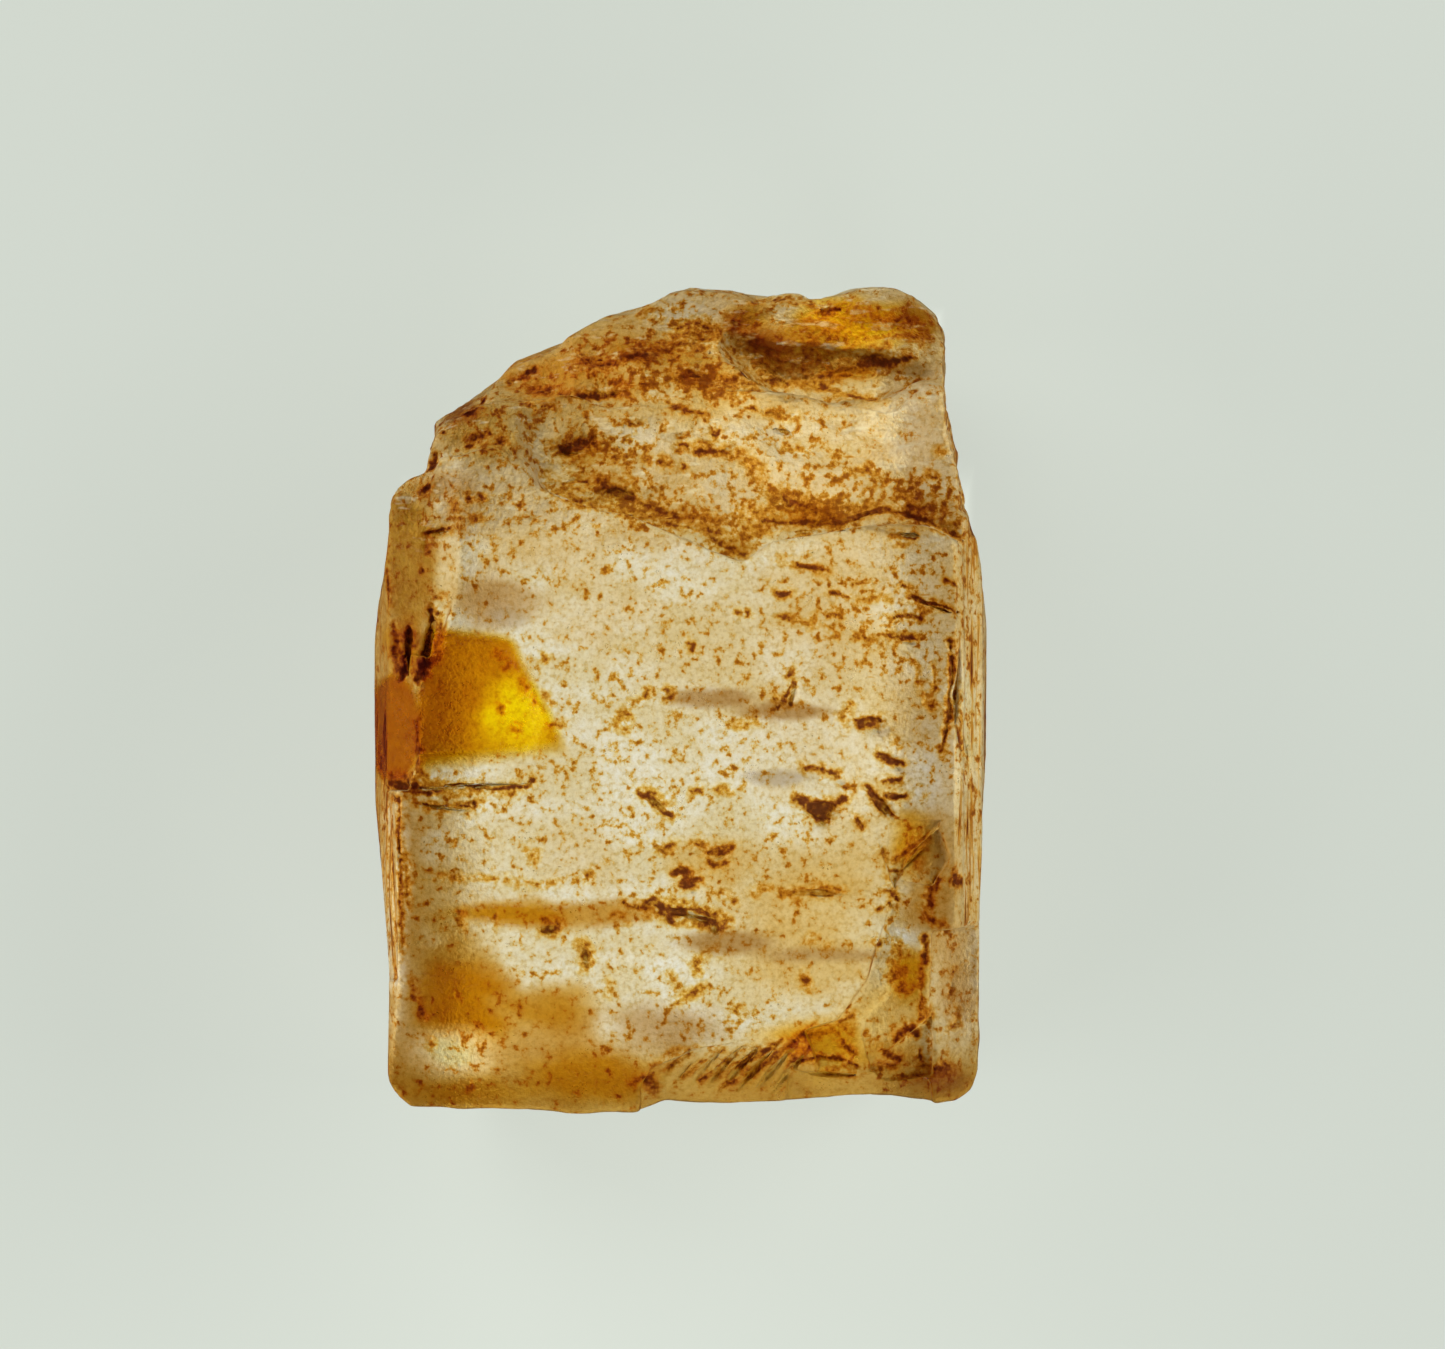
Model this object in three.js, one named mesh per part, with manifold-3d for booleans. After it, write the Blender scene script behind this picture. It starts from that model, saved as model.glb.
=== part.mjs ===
// A rough imperial topaz: one stubby prismatic crystal, lying on a prism face.
//
// Row frame, millimetres: Z is up, Y runs along the crystal's long axis (the c-axis) from the flat
// basal cleavage at -Y to the worn, stepped termination at +Y, and X runs across the broad front face.
// The origin is on the ground under the middle of the crystal's bounding box.
//
// The crystal is made the way nature left it. A prism with ribbed flanks is extruded along the c-axis
// and cropped to the stone's outline. Tilted cuts give the terraces and facets, scoops the conchoidal
// chips, spindles the slits and pits. Last, a gentle worn relief is pressed into the whole skin.

import * as THREE from "three";
import { ImprovedNoise } from "three/addons/math/ImprovedNoise.js";
import { mergeVertices } from "three/addons/utils/BufferGeometryUtils.js";
import Module from "manifold-3d";

const wasm = await Module();
wasm.setup();

// ---------------------------------------------------------------- driving dimensions

const LENGTH = 27.2; // along the c-axis
const WIDTH = 20.4; // across the widest ribs of the flanks
const THICKNESS = 11.4; // from the prism face it rests on to the front prism face

const HALF_LENGTH = LENGTH / 2;
const HALF_WIDTH = WIDTH / 2;

const FRONT_LEFT = -9.25; // edges of the broad front face
const FRONT_RIGHT = 9.05;
const BACK_HALF = 7.2; // half of the resting face's width
const GIRDLE_UP = 5.8; // height at which the flanks stand out furthest

const RIB_FEET = [0, 0.11, 0.27, 0.36, 0.55, 0.64, 0.83, 1]; // growth ribs up one side of a flank
const RIB_DEPTHS = [0.05, 0.03, 0.08, 0.04, 0.06, 0.09, 0];

const COARSE_EDGE = 1.6; // longest mesh edge on the back while the relief is pressed in
const FINE_EDGE = 0.65; // and on the front, where the relief is read
const CORNERS = 4700; // mesh corners kept in the end, where the shape turns most

const degrees = THREE.MathUtils.degToRad;

// ---------------------------------------------------------------- solids and how they are joined

// A closed three.js geometry as a solid that can be joined and cut.
function solidOf(geometry) {
  const skin = geometry.clone();
  skin.deleteAttribute("normal");
  skin.deleteAttribute("uv");
  const merged = mergeVertices(skin, 1e-5);
  return new wasm.Manifold(
    new wasm.Mesh({
      numProp: 3,
      vertProperties: merged.attributes.position.array,
      triVerts: new Uint32Array(merged.index.array),
    }),
  );
}

// A geometry turned about its own origin (degrees, about X, then Y, then Z) and set at a point.
function placed(geometry, at, turn = [0, 0, 0]) {
  const [tx, ty, tz] = turn.map(degrees);
  const pose = new THREE.Matrix4().makeRotationFromEuler(new THREE.Euler(tx, ty, tz, "ZYX"));
  return solidOf(geometry.clone().applyMatrix4(pose).translate(...at));
}

// A block that takes away what is above the plane through its own origin.
function block(width, reach, height) {
  return new THREE.BoxGeometry(width, reach, height).translate(0, 0, height / 2);
}

// A ball with its own radius along each axis.
function pebble(rx, ry, rz, detail = 3) {
  return new THREE.IcosahedronGeometry(1, detail).scale(rx, ry, rz);
}

// A bar that stands on an outline in the XY plane.
function standing(outline, height) {
  const shape = new THREE.Shape(outline.map(([x, y]) => new THREE.Vector2(x, y)));
  return new THREE.ExtrudeGeometry(shape, { depth: height, bevelEnabled: false });
}

// What lies above a tilted plane, inside an outline seen from the front. The plane is `depth` below
// the front face at the point `at`, and falls `slope` degrees towards `heading` (degrees from +X).
function facet(outline, at, depth, slope, heading) {
  const fall = Math.tan(degrees(slope));
  const fallX = fall * Math.cos(degrees(heading));
  const fallY = fall * Math.sin(degrees(heading));
  const lift = THICKNESS - depth + fallX * at[0] + fallY * at[1];
  const tilt = new THREE.Matrix4().set(1, 0, 0, 0, 0, 1, 0, 0, -fallX, -fallY, 1, lift, 0, 0, 0, 1);
  return solidOf(standing(outline, 9).applyMatrix4(tilt));
}

// A slit that thins out at both ends, between two points given as X, Y and depth below the front face.
function slit(from, to, wide, deep) {
  const a = new THREE.Vector3(from[0], from[1], THICKNESS - from[2]);
  const b = new THREE.Vector3(to[0], to[1], THICKNESS - to[2]);
  const along = b.clone().sub(a);
  const across = new THREE.Vector3(-along.y, along.x, 0).normalize();
  const down = along.clone().normalize().cross(across);
  const pose = new THREE.Matrix4()
    .makeBasis(along.multiplyScalar(0.5), across.multiplyScalar(wide / 2), down.multiplyScalar(deep))
    .setPosition(a.add(b).multiplyScalar(0.5));
  return solidOf(new THREE.OctahedronGeometry(1, 0).applyMatrix4(pose));
}

// ---------------------------------------------------------------- the prism

// One side of a flank as a run of growth ribs, from one corner to the next.
function ribbed(shape, from, to, outward) {
  const on = (t) => from.clone().lerp(to, t);
  for (let i = 1; i < RIB_FEET.length; i++) {
    const crest = on(THREE.MathUtils.lerp(RIB_FEET[i - 1], RIB_FEET[i], 0.75));
    const foot = on(RIB_FEET[i]).addScaledVector(outward, -RIB_DEPTHS[i - 1]);
    shape.lineTo(crest.x, crest.y);
    shape.lineTo(foot.x, foot.y);
  }
}

// The cross-section, seen along the c-axis: flat front and back, and flanks of several prism faces.
function crossSection() {
  const at = (x, y) => new THREE.Vector2(x, y);
  const backRight = at(BACK_HALF, 0);
  const girdleRight = at(HALF_WIDTH, GIRDLE_UP);
  const shoulderRight = at(HALF_WIDTH - 0.2, THICKNESS - 2.3);
  const frontRight = at(FRONT_RIGHT, THICKNESS);
  const frontLeft = at(FRONT_LEFT, THICKNESS);
  const shoulderLeft = at(0.15 - HALF_WIDTH, THICKNESS - 2.9);
  const girdleLeft = at(-HALF_WIDTH, GIRDLE_UP - 0.4);
  const backLeft = at(-BACK_HALF, 0);

  const section = new THREE.Shape();
  section.moveTo(backRight.x, backRight.y);
  ribbed(section, backRight, girdleRight, at(0.89, -0.46));
  section.lineTo(shoulderRight.x, shoulderRight.y);
  section.lineTo(frontRight.x, frontRight.y);
  section.lineTo(frontLeft.x, frontLeft.y);
  section.lineTo(shoulderLeft.x, shoulderLeft.y);
  section.lineTo(girdleLeft.x, girdleLeft.y);
  ribbed(section, girdleLeft, backLeft, at(-0.87, -0.49));
  section.closePath();
  return section;
}

function prism() {
  const bar = new THREE.ExtrudeGeometry(crossSection(), { depth: LENGTH + 2, bevelEnabled: false });
  bar.rotateX(Math.PI / 2); // the section's height becomes Z, and the extrusion runs along Y
  bar.translate(0, HALF_LENGTH + 1, 0);
  return solidOf(bar);
}

// The stone's outline, seen from the front.
const OUTLINE = [
  // basal cleavage along the bottom, in two levels
  [-9.25, -13.05], [-8.85, -13.37], [-6.5, -13.4], [-3.0, -13.6], [-1.5, -13.57], [-0.85, -13.33],
  [-0.5, -13.15], [1.5, -13.3], [5.5, -13.03], [7.0, -13.03], [8.5, -13.27], [9.1, -13.17],
  // right flank
  [9.6, -12.85], [9.78, -12.2], [9.83, -6.7], [9.98, -4.0], [10.17, -1.5], [10.2, 2.3], [9.95, 4.2],
  [9.75, 5.3], [9.25, 6.4], [9.1, 8.3], [8.8, 9.3], [8.72, 10.6], [8.82, 12.0], [8.55, 12.7],
  // knobbly top
  [7.8, 13.3], [7.2, 13.6], [6.3, 13.68], [5.5, 13.57], [4.7, 13.3], [4.1, 13.26], [3.5, 13.43],
  [2.5, 13.33], [1.7, 13.55], [1.05, 13.68], [0, 13.53], [-1.0, 13.3], [-2.8, 12.63],
  // slope, notch and left flank
  [-4.0, 11.97], [-5.35, 11.3], [-6.0, 10.6], [-7.0, 9.95], [-8.0, 9.3], [-8.25, 8.6], [-8.45, 7.55],
  [-8.95, 7.3], [-9.35, 6.97], [-9.5, 6.2], [-9.62, 4.9], [-9.95, 3.1], [-10.1, 1.6], [-10.2, -1.2],
  [-10.12, -3.0], [-9.95, -4.4], [-9.78, -6.7], [-9.52, -9.7], [-9.6, -12.4],
];

// ---------------------------------------------------------------- the cuts

// The worn termination: terraces that step down from the front face, and the broken end below them.
function terminationCuts() {
  return [
    // lower terrace, whose ledge crosses the front face on a slant and then level
    facet(
      [
        [-4.6, 6.95], [-2.6, 6.3], [-1.6, 6.15], [-0.4, 5.6], [0.9, 5.0], [2.1, 4.55], [3.0, 5.2],
        [4.9, 5.55], [6.6, 5.85], [8.2, 5.75], [9.6, 5.1], [12, 5], [12, 16], [-6, 16], [-5, 8.6],
      ],
      [2.1, 4.6], 0.42, 10, 88,
    ),
    // its left end, which falls away to the upper left
    facet(
      [[-7.15, 8.15], [-6.2, 8.5], [-5.5, 8.3], [-4.6, 7.1], [-3.8, 16], [-12, 16], [-12, 8.2]],
      [-5.5, 8.3], 0.6, 20, 118,
    ),
    // upper terrace, right: it ends in the rim of the dark hollow
    facet(
      [
        [-1.4, 10.1], [0.6, 9.9], [1.9, 10.3], [2.9, 10.45], [4.6, 10.3], [5.5, 9.95], [7.0, 9.8],
        [7.9, 10.6], [12, 10.9], [12, 16], [-1.5, 16],
      ],
      [4.6, 10.3], 1.75, 36, 86,
    ),
    // upper terrace, left
    facet(
      [
        [-7.4, 9.75], [-5.9, 9.95], [-3.6, 10.15], [-2.2, 9.95], [-1.0, 10.15], [0.2, 9.95],
        [0.6, 16], [-12, 16], [-12, 10],
      ],
      [-2, 10], 1.65, 38, 103,
    ),
    // broken end, falling back under the stone
    placed(block(30, 16, 6), [0, 13.3, 3.6], [-122, 0, 0]),
    placed(block(16, 16, 6), [-5.6, 11.0, 4.4], [-112, 0, 37]),
    placed(block(12, 16, 6), [-8.7, 9.0, 4.6], [-105, 0, 70]),
    placed(block(14, 10, 6), [9.3, 10.5, 4.2], [-112, 0, -78]),
  ];
}

// Rounded knobs along the top edge, all that is left of the crystal's own end faces.
function terminationKnobs() {
  return [
    placed(pebble(2.3, 1.75, 2.3), [6.35, 11.9, 5.9], [-28, 0, 0]),
    placed(pebble(1.7, 1.55, 2.1), [3.4, 11.85, 6.1], [-28, 0, 5]),
    placed(pebble(2.3, 1.6, 2.2), [0.7, 12.0, 6.0], [-28, 0, -6]),
  ];
}

// Facets along the left edge of the front face.
function leftCuts() {
  return [
    // long facet beside the upper left edge
    facet(
      [[-7.0, 8.3], [-7.15, 6.2], [-7.3, 4.4], [-7.55, 2.9], [-8.0, 1.5], [-12, 1.5], [-12, 8.9]],
      [-7.2, 5], 0.06, 29, 181,
    ),
    // glassy corner at its upper end
    facet([[-8.15, 6.75], [-7.8, 8.9], [-12, 8.9], [-12, 6.5]], [-8.15, 6.8], 0.78, 32, 150),
    // clear window: a nearly level facet with a cliff along its top and right
    facet(
      [
        [-8.05, 2.0], [-5.6, 1.92], [-5.35, 1.05], [-5.1, 0.7], [-4.8, -0.1], [-4.4, -1.0],
        [-5.0, -1.8], [-8.6, -1.75], [-8.6, 0.35],
      ],
      [-6.5, 0.2], 0.32, 4, 205,
    ),
    // and the steeper facet that turns down to the flank beside it
    facet(
      [[-8.05, 1.6], [-8.55, 0.4], [-8.55, -1.6], [-8.95, -2.95], [-12, -3.0], [-12, 1.7]],
      [-8.55, -0.5], 0.48, 42, 184,
    ),
    // undercut of the flank below the window
    placed(block(3, 5.6, 3), [-9.75, -6.4, 9.6], [0, -74, 3]),
    // smooth conchoidal scoop across the lower left corner
    placed(pebble(20.3, 17.2, 12, 16), [-7.3, -15.8, THICKNESS + 10.85]),
  ];
}

// The fracture across the lower right corner.
function rightCuts() {
  return [
    // torn band along the bottom edge
    facet(
      [
        [-1.25, -12.6], [-0.9, -12.0], [0.7, -11.4], [2.6, -11.1], [4.1, -10.85], [4.7, -12.2],
        [5.4, -15], [-1.4, -15],
      ],
      [2.0, -11.2], 0.1, 36, 268,
    ),
    // smooth wedge that ends in a point, and the deeper chip beside it
    facet([[7.05, -6.2], [6.6, -5.0], [6.35, -3.9], [8.7, -3.9], [7.4, -5.2]], [6.4, -4.4], 0.05, 9, 320),
    facet([[7.1, -5.9], [7.45, -5.1], [8.5, -4.15], [8.9, -5.2], [8.3, -6.1]], [7.3, -5.5], 0.2, 16, 10),
    // hollow facets that fall to the corner
    facet(
      [
        [4.1, -10.85], [5.2, -10.5], [6.1, -9.2], [7.0, -6.4], [7.9, -6.7], [8.3, -7.6], [8.3, -11.0],
        [7.4, -12.5], [4.7, -12.4],
      ],
      [7.0, -6.6], 0.08, 11, 252,
    ),
    facet([[5.9, -10.6], [6.9, -9.6], [8.3, -8.1], [8.3, -12.3], [6.3, -12.2]], [7.0, -9.7], 0.7, 15, 236),
    facet([[6.4, -11.95], [8.3, -10.35], [8.35, -12.4], [6.6, -12.55]], [7.3, -11.2], 1.2, 18, 295),
    facet([[3.6, -12.15], [4.9, -12.3], [6.2, -12.3], [8.2, -12.45], [8.6, -15], [3.4, -15]], [5, -12.3], 1.2, 40, 270),
    // right strip, which turns down to the flank
    facet([[8.25, -7.6], [8.2, -12.3], [7.9, -15], [12, -15], [12, -7.2]], [8.25, -9], 0.95, 36, 4),
  ];
}

// The scooped-out hollow behind the upper rim, and shallow hollows worn into the terraces.
function hollows() {
  return [
    placed(pebble(3.0, 1.15, 1.3, 4), [4.95, 11.2, 8.95], [-32, 3, -3]),
    placed(pebble(1.9, 0.95, 1.1, 4), [2.9, 11.35, 8.9], [-32, 0, -34]),
    placed(pebble(1.7, 0.7, 0.9, 4), [6.9, 11.05, 8.9], [-32, 0, 9]),
    // dents at the ledges, and chips knocked off the lower edges
    placed(pebble(1.9, 0.8, 0.5), [-3.0, 7.6, 10.95], [-8, 0, -14]),
    placed(pebble(2.2, 0.7, 0.5), [5.3, 6.5, 11.0], [-8, 0, -3]),
    placed(pebble(2.4, 1.5, 1.6), [3.4, -14.2, -0.5], [0, 20, 10]),
    placed(pebble(1.7, 1.3, 1.5), [-7.2, -14.0, -0.2], [0, -30, 20]),
    placed(pebble(1.7, 2.7, 1.6), [-7.9, 3.4, -0.7], [0, 20, 6]),
    placed(pebble(1.5, 3.3, 1.5), [8.0, -5.2, -0.6], [0, -15, -4]),
  ];
}

// Slits and etch pits: two ends as X, Y and depth below the front face, then width and depth.
const SLITS = [
  // crevice down the right edge, and the cracks that leave it
  [[9.17, 2.0, 0.35], [9.0, -1.7, 0.3], 0.3, 0.65],
  [[9.3, -0.9, 0.7], [9.8, -3.1, 1.3], 0.16, 0.4],
  // ledge cracks of the lower terrace, and pits above it
  [[-4.4, 8.1, 0.75], [-2.9, 8.15, 0.9], 0.5, 0.45],
  [[-3.0, 7.0, 0.7], [-1.4, 6.65, 0.7], 0.4, 0.4],
  [[2.9, 9.15, 1.3], [3.9, 8.95, 1.3], 0.24, 0.35],
  [[-0.7, 8.9, 1.2], [0.5, 8.8, 1.2], 0.3, 0.35],
  [[2.4, 5.5, 0.35], [6.2, 5.65, 0.35], 0.22, 0.5],
  [[5.6, 5.7, 0.4], [9.6, 5.2, 0.5], 0.26, 0.55],
  [[-3.2, 6.6, 0.4], [0.4, 5.5, 0.3], 0.2, 0.4],
  [[7.9, 3.25, 0], [9.5, 2.75, 0.3], 0.2, 0.3],
  [[7.0, 1.95, 0], [8.1, 1.8, 0], 0.22, 0.3],
  // cracks beside the clear window
  [[-8.95, 2.5, 1.0], [-8.9, 0.4, 0.9], 0.24, 0.6],
  [[-8.1, 3.1, 0.6], [-8.5, 0.4, 0.7], 0.24, 0.6],
  [[-9.7, -2.9, 0.9], [-7.0, -2.85, 0], 0.26, 0.5],
  [[-8.0, -2.8, 0.05], [-4.7, -2.7, 0], 0.14, 0.35],
  [[-8.8, -3.4, 0.1], [-6.6, -3.65, 0], 0.12, 0.3],
  [[-8.6, 5.55, 0.8], [-7.3, 5.5, 0.1], 0.22, 0.35],
  // etch pits on the front face
  [[3.9, -3.6, 0], [5.6, -3.75, 0], 0.75, 0.5],
  [[4.3, -4.0, 0], [5.1, -4.1, 0], 0.6, 0.5],
  [[6.0, -0.95, 0], [6.95, -1.05, 0], 0.55, 0.4],
  [[6.7, -2.1, 0], [7.6, -2.45, 0], 0.32, 0.35],
  [[4.2, -2.55, 0], [4.9, -2.6, 0], 0.3, 0.3],
  [[5.1, -2.65, 0], [5.5, -2.8, 0], 0.25, 0.3],
  [[6.4, -3.15, 0], [7.1, -4.1, 0], 0.5, 0.4],
  [[6.95, -3.35, 0], [7.7, -3.6, 0], 0.28, 0.3],
  [[-0.1, -5.2, 0], [1.0, -4.85, 0], 0.35, 0.3],
  [[0.9, -5.35, 0], [1.7, -5.0, 0], 0.35, 0.3],
  [[0.0, -6.2, 0], [0.9, -6.4, 0], 0.4, 0.35],
  [[-0.6, -6.8, 0], [1.5, -7.35, 0], 0.35, 0.4],
  [[0.9, -7.1, 0], [1.4, -7.9, 0], 0.45, 0.4],
  [[3.5, -6.3, 0], [5.7, -6.4, 0], 0.3, 0.3],
  [[-4.7, -7.5, 0], [-3.9, -7.6, 0], 0.45, 0.35],
  [[-3.2, -7.9, 0], [-3.0, -8.9, 0], 0.4, 0.35],
  [[-1.1, -3.1, 0], [-0.3, -3.7, 0], 0.28, 0.3],
  [[3.9, 0.75, 0], [3.55, -0.4, 0], 0.24, 0.3],
  [[7.1, -5.75, 0.2], [8.6, -4.3, 0.3], 0.3, 0.4],
  [[3.7, -12.25, 1.0], [6.0, -12.35, 1.3], 0.3, 0.5],
];

// Diagonal ribs torn into the band along the bottom edge.
function tornRibs() {
  const COUNT = 8;
  const PITCH = 0.6;
  return Array.from({ length: COUNT }, (_, i) => {
    const x = -0.55 + i * PITCH;
    return slit([x - 0.95, -13.3, 1.5], [x + 0.95, -11.35 + 0.05 * i, 0.15], 0.34, 0.3);
  });
}

// ---------------------------------------------------------------- worn relief

const noise = new ImprovedNoise();

// A pull along X, Y and Z that changes smoothly from place to place.
function drift(p, size) {
  const q = p.clone().divideScalar(size);
  return new THREE.Vector3(
    0.5 * noise.noise(q.x + 11.3, q.y, q.z),
    0.5 * noise.noise(q.x, q.y + 23.7, q.z),
    noise.noise(q.x, q.y, q.z + 37.1),
  );
}

// How worn the skin is: rough at the termination, smooth on the prism faces, none where it rests.
function worn(point) {
  const { smoothstep } = THREE.MathUtils;
  const clearOfGround = smoothstep(point.z, 0.02, 1.2);
  const amount = clearOfGround * (0.13 + 0.87 * smoothstep(point.y, 4.0, 7.5));
  // the broken end is hollowed above and below the height where it reaches furthest out
  const endFace = clearOfGround * smoothstep(point.y, 7, 11.5) * smoothstep(Math.abs(point.z - 6), 0.3, 2.5);
  const hollow = 0.5 + noise.noise(point.x / 2.1, 7.7, point.z / 1.7);
  return point
    .clone()
    .addScaledVector(drift(point, 3.3), 0.36 * amount)
    .addScaledVector(drift(point, 1.3), 0.26 * amount)
    .add(new THREE.Vector3(0, -0.5 * endFace * hollow, 0));
}

// ---------------------------------------------------------------- the mesh

// Longest edge allowed at a place: fine on the front and the termination, coarse below.
function edgeAllowed(p) {
  const front = THREE.MathUtils.smoothstep(p.z, 6.0, 9.2);
  const end = THREE.MathUtils.smoothstep(p.y, 8.5, 11.5) * 0.75;
  return THREE.MathUtils.lerp(COARSE_EDGE, FINE_EDGE, Math.max(front, end));
}

// Halves every edge that is too long for its place, until none is. Neighbours share each new point.
function refined(points, faces) {
  const middles = new Map();
  const middleOf = (a, b) => {
    const key = a < b ? `${a} ${b}` : `${b} ${a}`;
    if (!middles.has(key)) {
      middles.set(key, points.length);
      points.push(points[a].clone().add(points[b]).multiplyScalar(0.5));
    }
    return middles.get(key);
  };
  const lengthOf = ([a, b]) => points[a].distanceTo(points[b]);
  const tooLong = ([a, b]) =>
    lengthOf([a, b]) > edgeAllowed(points[a].clone().add(points[b]).multiplyScalar(0.5));
  const done = [];
  const todo = [...faces];
  while (todo.length) {
    const [a, b, c] = todo.pop();
    const long = [[a, b, c], [b, c, a], [c, a, b]].filter(tooLong);
    if (!long.length) {
      done.push([a, b, c]);
      continue;
    }
    const [p, q, r] = long.reduce((best, turn) => (lengthOf(turn) > lengthOf(best) ? turn : best));
    const m = middleOf(p, q);
    todo.push([p, m, r], [m, q, r]);
  }
  return done;
}

// The squared distance to a triangle's plane, weighted by its area, as the ten terms of a form.
function planeForm([a, b, c]) {
  const normal = b.clone().sub(a).cross(c.clone().sub(a));
  const area = normal.length() / 2;
  normal.normalize();
  const plane = [normal.x, normal.y, normal.z, -normal.dot(a)];
  return plane.flatMap((u, i) => plane.slice(i).map((v, j) => u * v * area * (j ? 2 : 1)));
}

function formAt(form, p) {
  const q = [p.x, p.y, p.z, 1];
  const terms = q.flatMap((u, i) => q.slice(i).map((v) => u * v));
  return terms.reduce((sum, term, i) => sum + term * form[i], 0);
}

// Lets corners slide into a neighbour where that changes the shape least, until few enough are left.
function thinned(points, faces, corners) {
  const forms = points.map(() => new Array(10).fill(0));
  const around = points.map(() => new Set());
  faces.forEach((face, f) => {
    const form = planeForm(face.map((v) => points[v]));
    for (const v of face) {
      around[v].add(f);
      forms[v] = forms[v].map((term, i) => term + form[i]);
    }
  });
  const neighbours = (v) => new Set([...around[v]].flatMap((f) => faces[f]).filter((w) => w !== v));
  const normalOf = ([a, b, c]) => b.clone().sub(a).cross(c.clone().sub(a)).normalize();
  const turnsOver = (v, w) =>
    [...around[v]]
      .map((f) => faces[f])
      .filter((face) => !face.includes(w))
      .some((face) => {
        const before = normalOf(face.map((u) => points[u]));
        const after = normalOf(face.map((u) => points[u === v ? w : u]));
        return before.dot(after) < 0.25;
      });

  let left = points.length;
  for (let pass = 0; left > corners && pass < 60; pass++) {
    const moves = [];
    points.forEach((p, v) => {
      for (const w of neighbours(v))
        moves.push([formAt(forms[v], points[w]) + 2e-5 * p.distanceToSquared(points[w]), v, w]);
    });
    moves.sort((a, b) => a[0] - b[0]);
    const touched = new Set();
    for (const [, v, w] of moves.slice(0, moves.length / 5)) {
      if (left <= corners) break;
      if (touched.has(v) || touched.has(w)) continue;
      const ring = neighbours(v);
      const shared = [...neighbours(w)].filter((u) => ring.has(u));
      if (shared.length !== 2 || turnsOver(v, w)) continue;
      for (const f of around[v]) {
        if (faces[f].includes(w)) {
          for (const u of faces[f]) if (u !== v) around[u].delete(f);
          faces[f] = null;
        } else {
          faces[f] = faces[f].map((u) => (u === v ? w : u));
          around[w].add(f);
        }
      }
      around[v].clear();
      forms[w] = forms[w].map((term, i) => term + forms[v][i]);
      for (const u of [v, ...ring]) touched.add(u);
      left--;
    }
  }
  return faces.filter(Boolean);
}

function crystalSolid() {
  const bar = solidOf(standing(OUTLINE, THICKNESS + 2).translate(0, 0, -1));
  let solid = prism().intersect(bar);
  for (const cut of [...terminationCuts(), ...leftCuts(), ...rightCuts()]) solid = solid.subtract(cut);
  for (const knob of terminationKnobs()) solid = solid.add(knob);
  for (const cut of hollows()) solid = solid.subtract(cut);
  for (const cut of [...SLITS.map((ends) => slit(...ends)), ...tornRibs()]) solid = solid.subtract(cut);
  return solid;
}

function crystalGeometry() {
  const mesh = crystalSolid().getMesh();
  const points = Array.from({ length: mesh.numVert }, (_, i) =>
    new THREE.Vector3().fromArray(mesh.vertProperties, i * mesh.numProp),
  );
  const faces = Array.from({ length: mesh.numTri }, (_, i) => [
    ...mesh.triVerts.subarray(3 * i, 3 * i + 3),
  ]);
  const fine = refined(points, faces);
  const skin = points.map(worn);

  const loose = new THREE.BufferGeometry().setFromPoints(skin);
  loose.setIndex(thinned(skin, fine, CORNERS).flat());
  const geometry = mergeVertices(loose.toNonIndexed(), 1e-4);
  geometry.computeBoundingBox();
  const { min, max } = geometry.boundingBox;
  geometry.translate(-(min.x + max.x) / 2, -(min.y + max.y) / 2, -min.z);
  geometry.computeVertexNormals();
  return geometry;
}

const topaz = new THREE.MeshStandardMaterial({
  color: new THREE.Color(0.83, 0.68, 0.42),
  roughness: 0.42,
  metalness: 0,
});

const crystal = new THREE.Mesh(crystalGeometry(), topaz);
crystal.name = "topaz_crystal";

const part = new THREE.Group();
part.add(crystal);

export default part;
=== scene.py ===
# %% [markdown]
# # A rough imperial topaz on a light pad
# This lesson dresses one natural crystal: a stubby prism of golden topaz, etched by nature at its
# upper end, broken off at its foot, frosted all over and stained by iron. It lies on its back on a
# glowing pad, as a dealer lays out rough stones to look into them.
#
# The solid model is loaded first. It fixes the size and the place of the stone, and nothing here
# moves or resizes it. Blender works in metres with Z up. The stone is only 27 mm long, so the
# sculpting below is done in millimetres, and turned into metres when the mesh is made.

# %% Load the solid model
import bmesh
import bpy
import numpy as np
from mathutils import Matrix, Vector


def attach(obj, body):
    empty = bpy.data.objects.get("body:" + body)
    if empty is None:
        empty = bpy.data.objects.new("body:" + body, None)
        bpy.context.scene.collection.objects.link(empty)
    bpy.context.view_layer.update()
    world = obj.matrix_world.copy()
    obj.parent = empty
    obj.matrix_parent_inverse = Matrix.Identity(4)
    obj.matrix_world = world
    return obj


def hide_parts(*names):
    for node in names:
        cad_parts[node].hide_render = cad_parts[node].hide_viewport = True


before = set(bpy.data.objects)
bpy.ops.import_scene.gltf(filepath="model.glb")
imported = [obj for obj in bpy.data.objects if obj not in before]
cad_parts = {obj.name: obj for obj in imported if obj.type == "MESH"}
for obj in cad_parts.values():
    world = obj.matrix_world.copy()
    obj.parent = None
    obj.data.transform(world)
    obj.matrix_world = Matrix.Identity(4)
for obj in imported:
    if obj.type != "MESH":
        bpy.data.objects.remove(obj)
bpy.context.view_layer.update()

MM = 0.001
scene = bpy.context.scene

# %% [markdown]
# ## Camera
# A small stone on a pad is looked at from straight above, with a long lens, so that its flanks
# hardly show and its outline stays true. The lens is worked out from two plain facts: how far up
# the camera hangs, and how wide a piece of the pad it should see.

# %% Hang the camera
CAMERA_UP = 0.40
VIEW_WIDTH = 48.17 * MM
CAMERA_OVER = (1.40 * MM, 0.75 * MM)
GIRDLE_UP = 5.8 * MM

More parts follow.
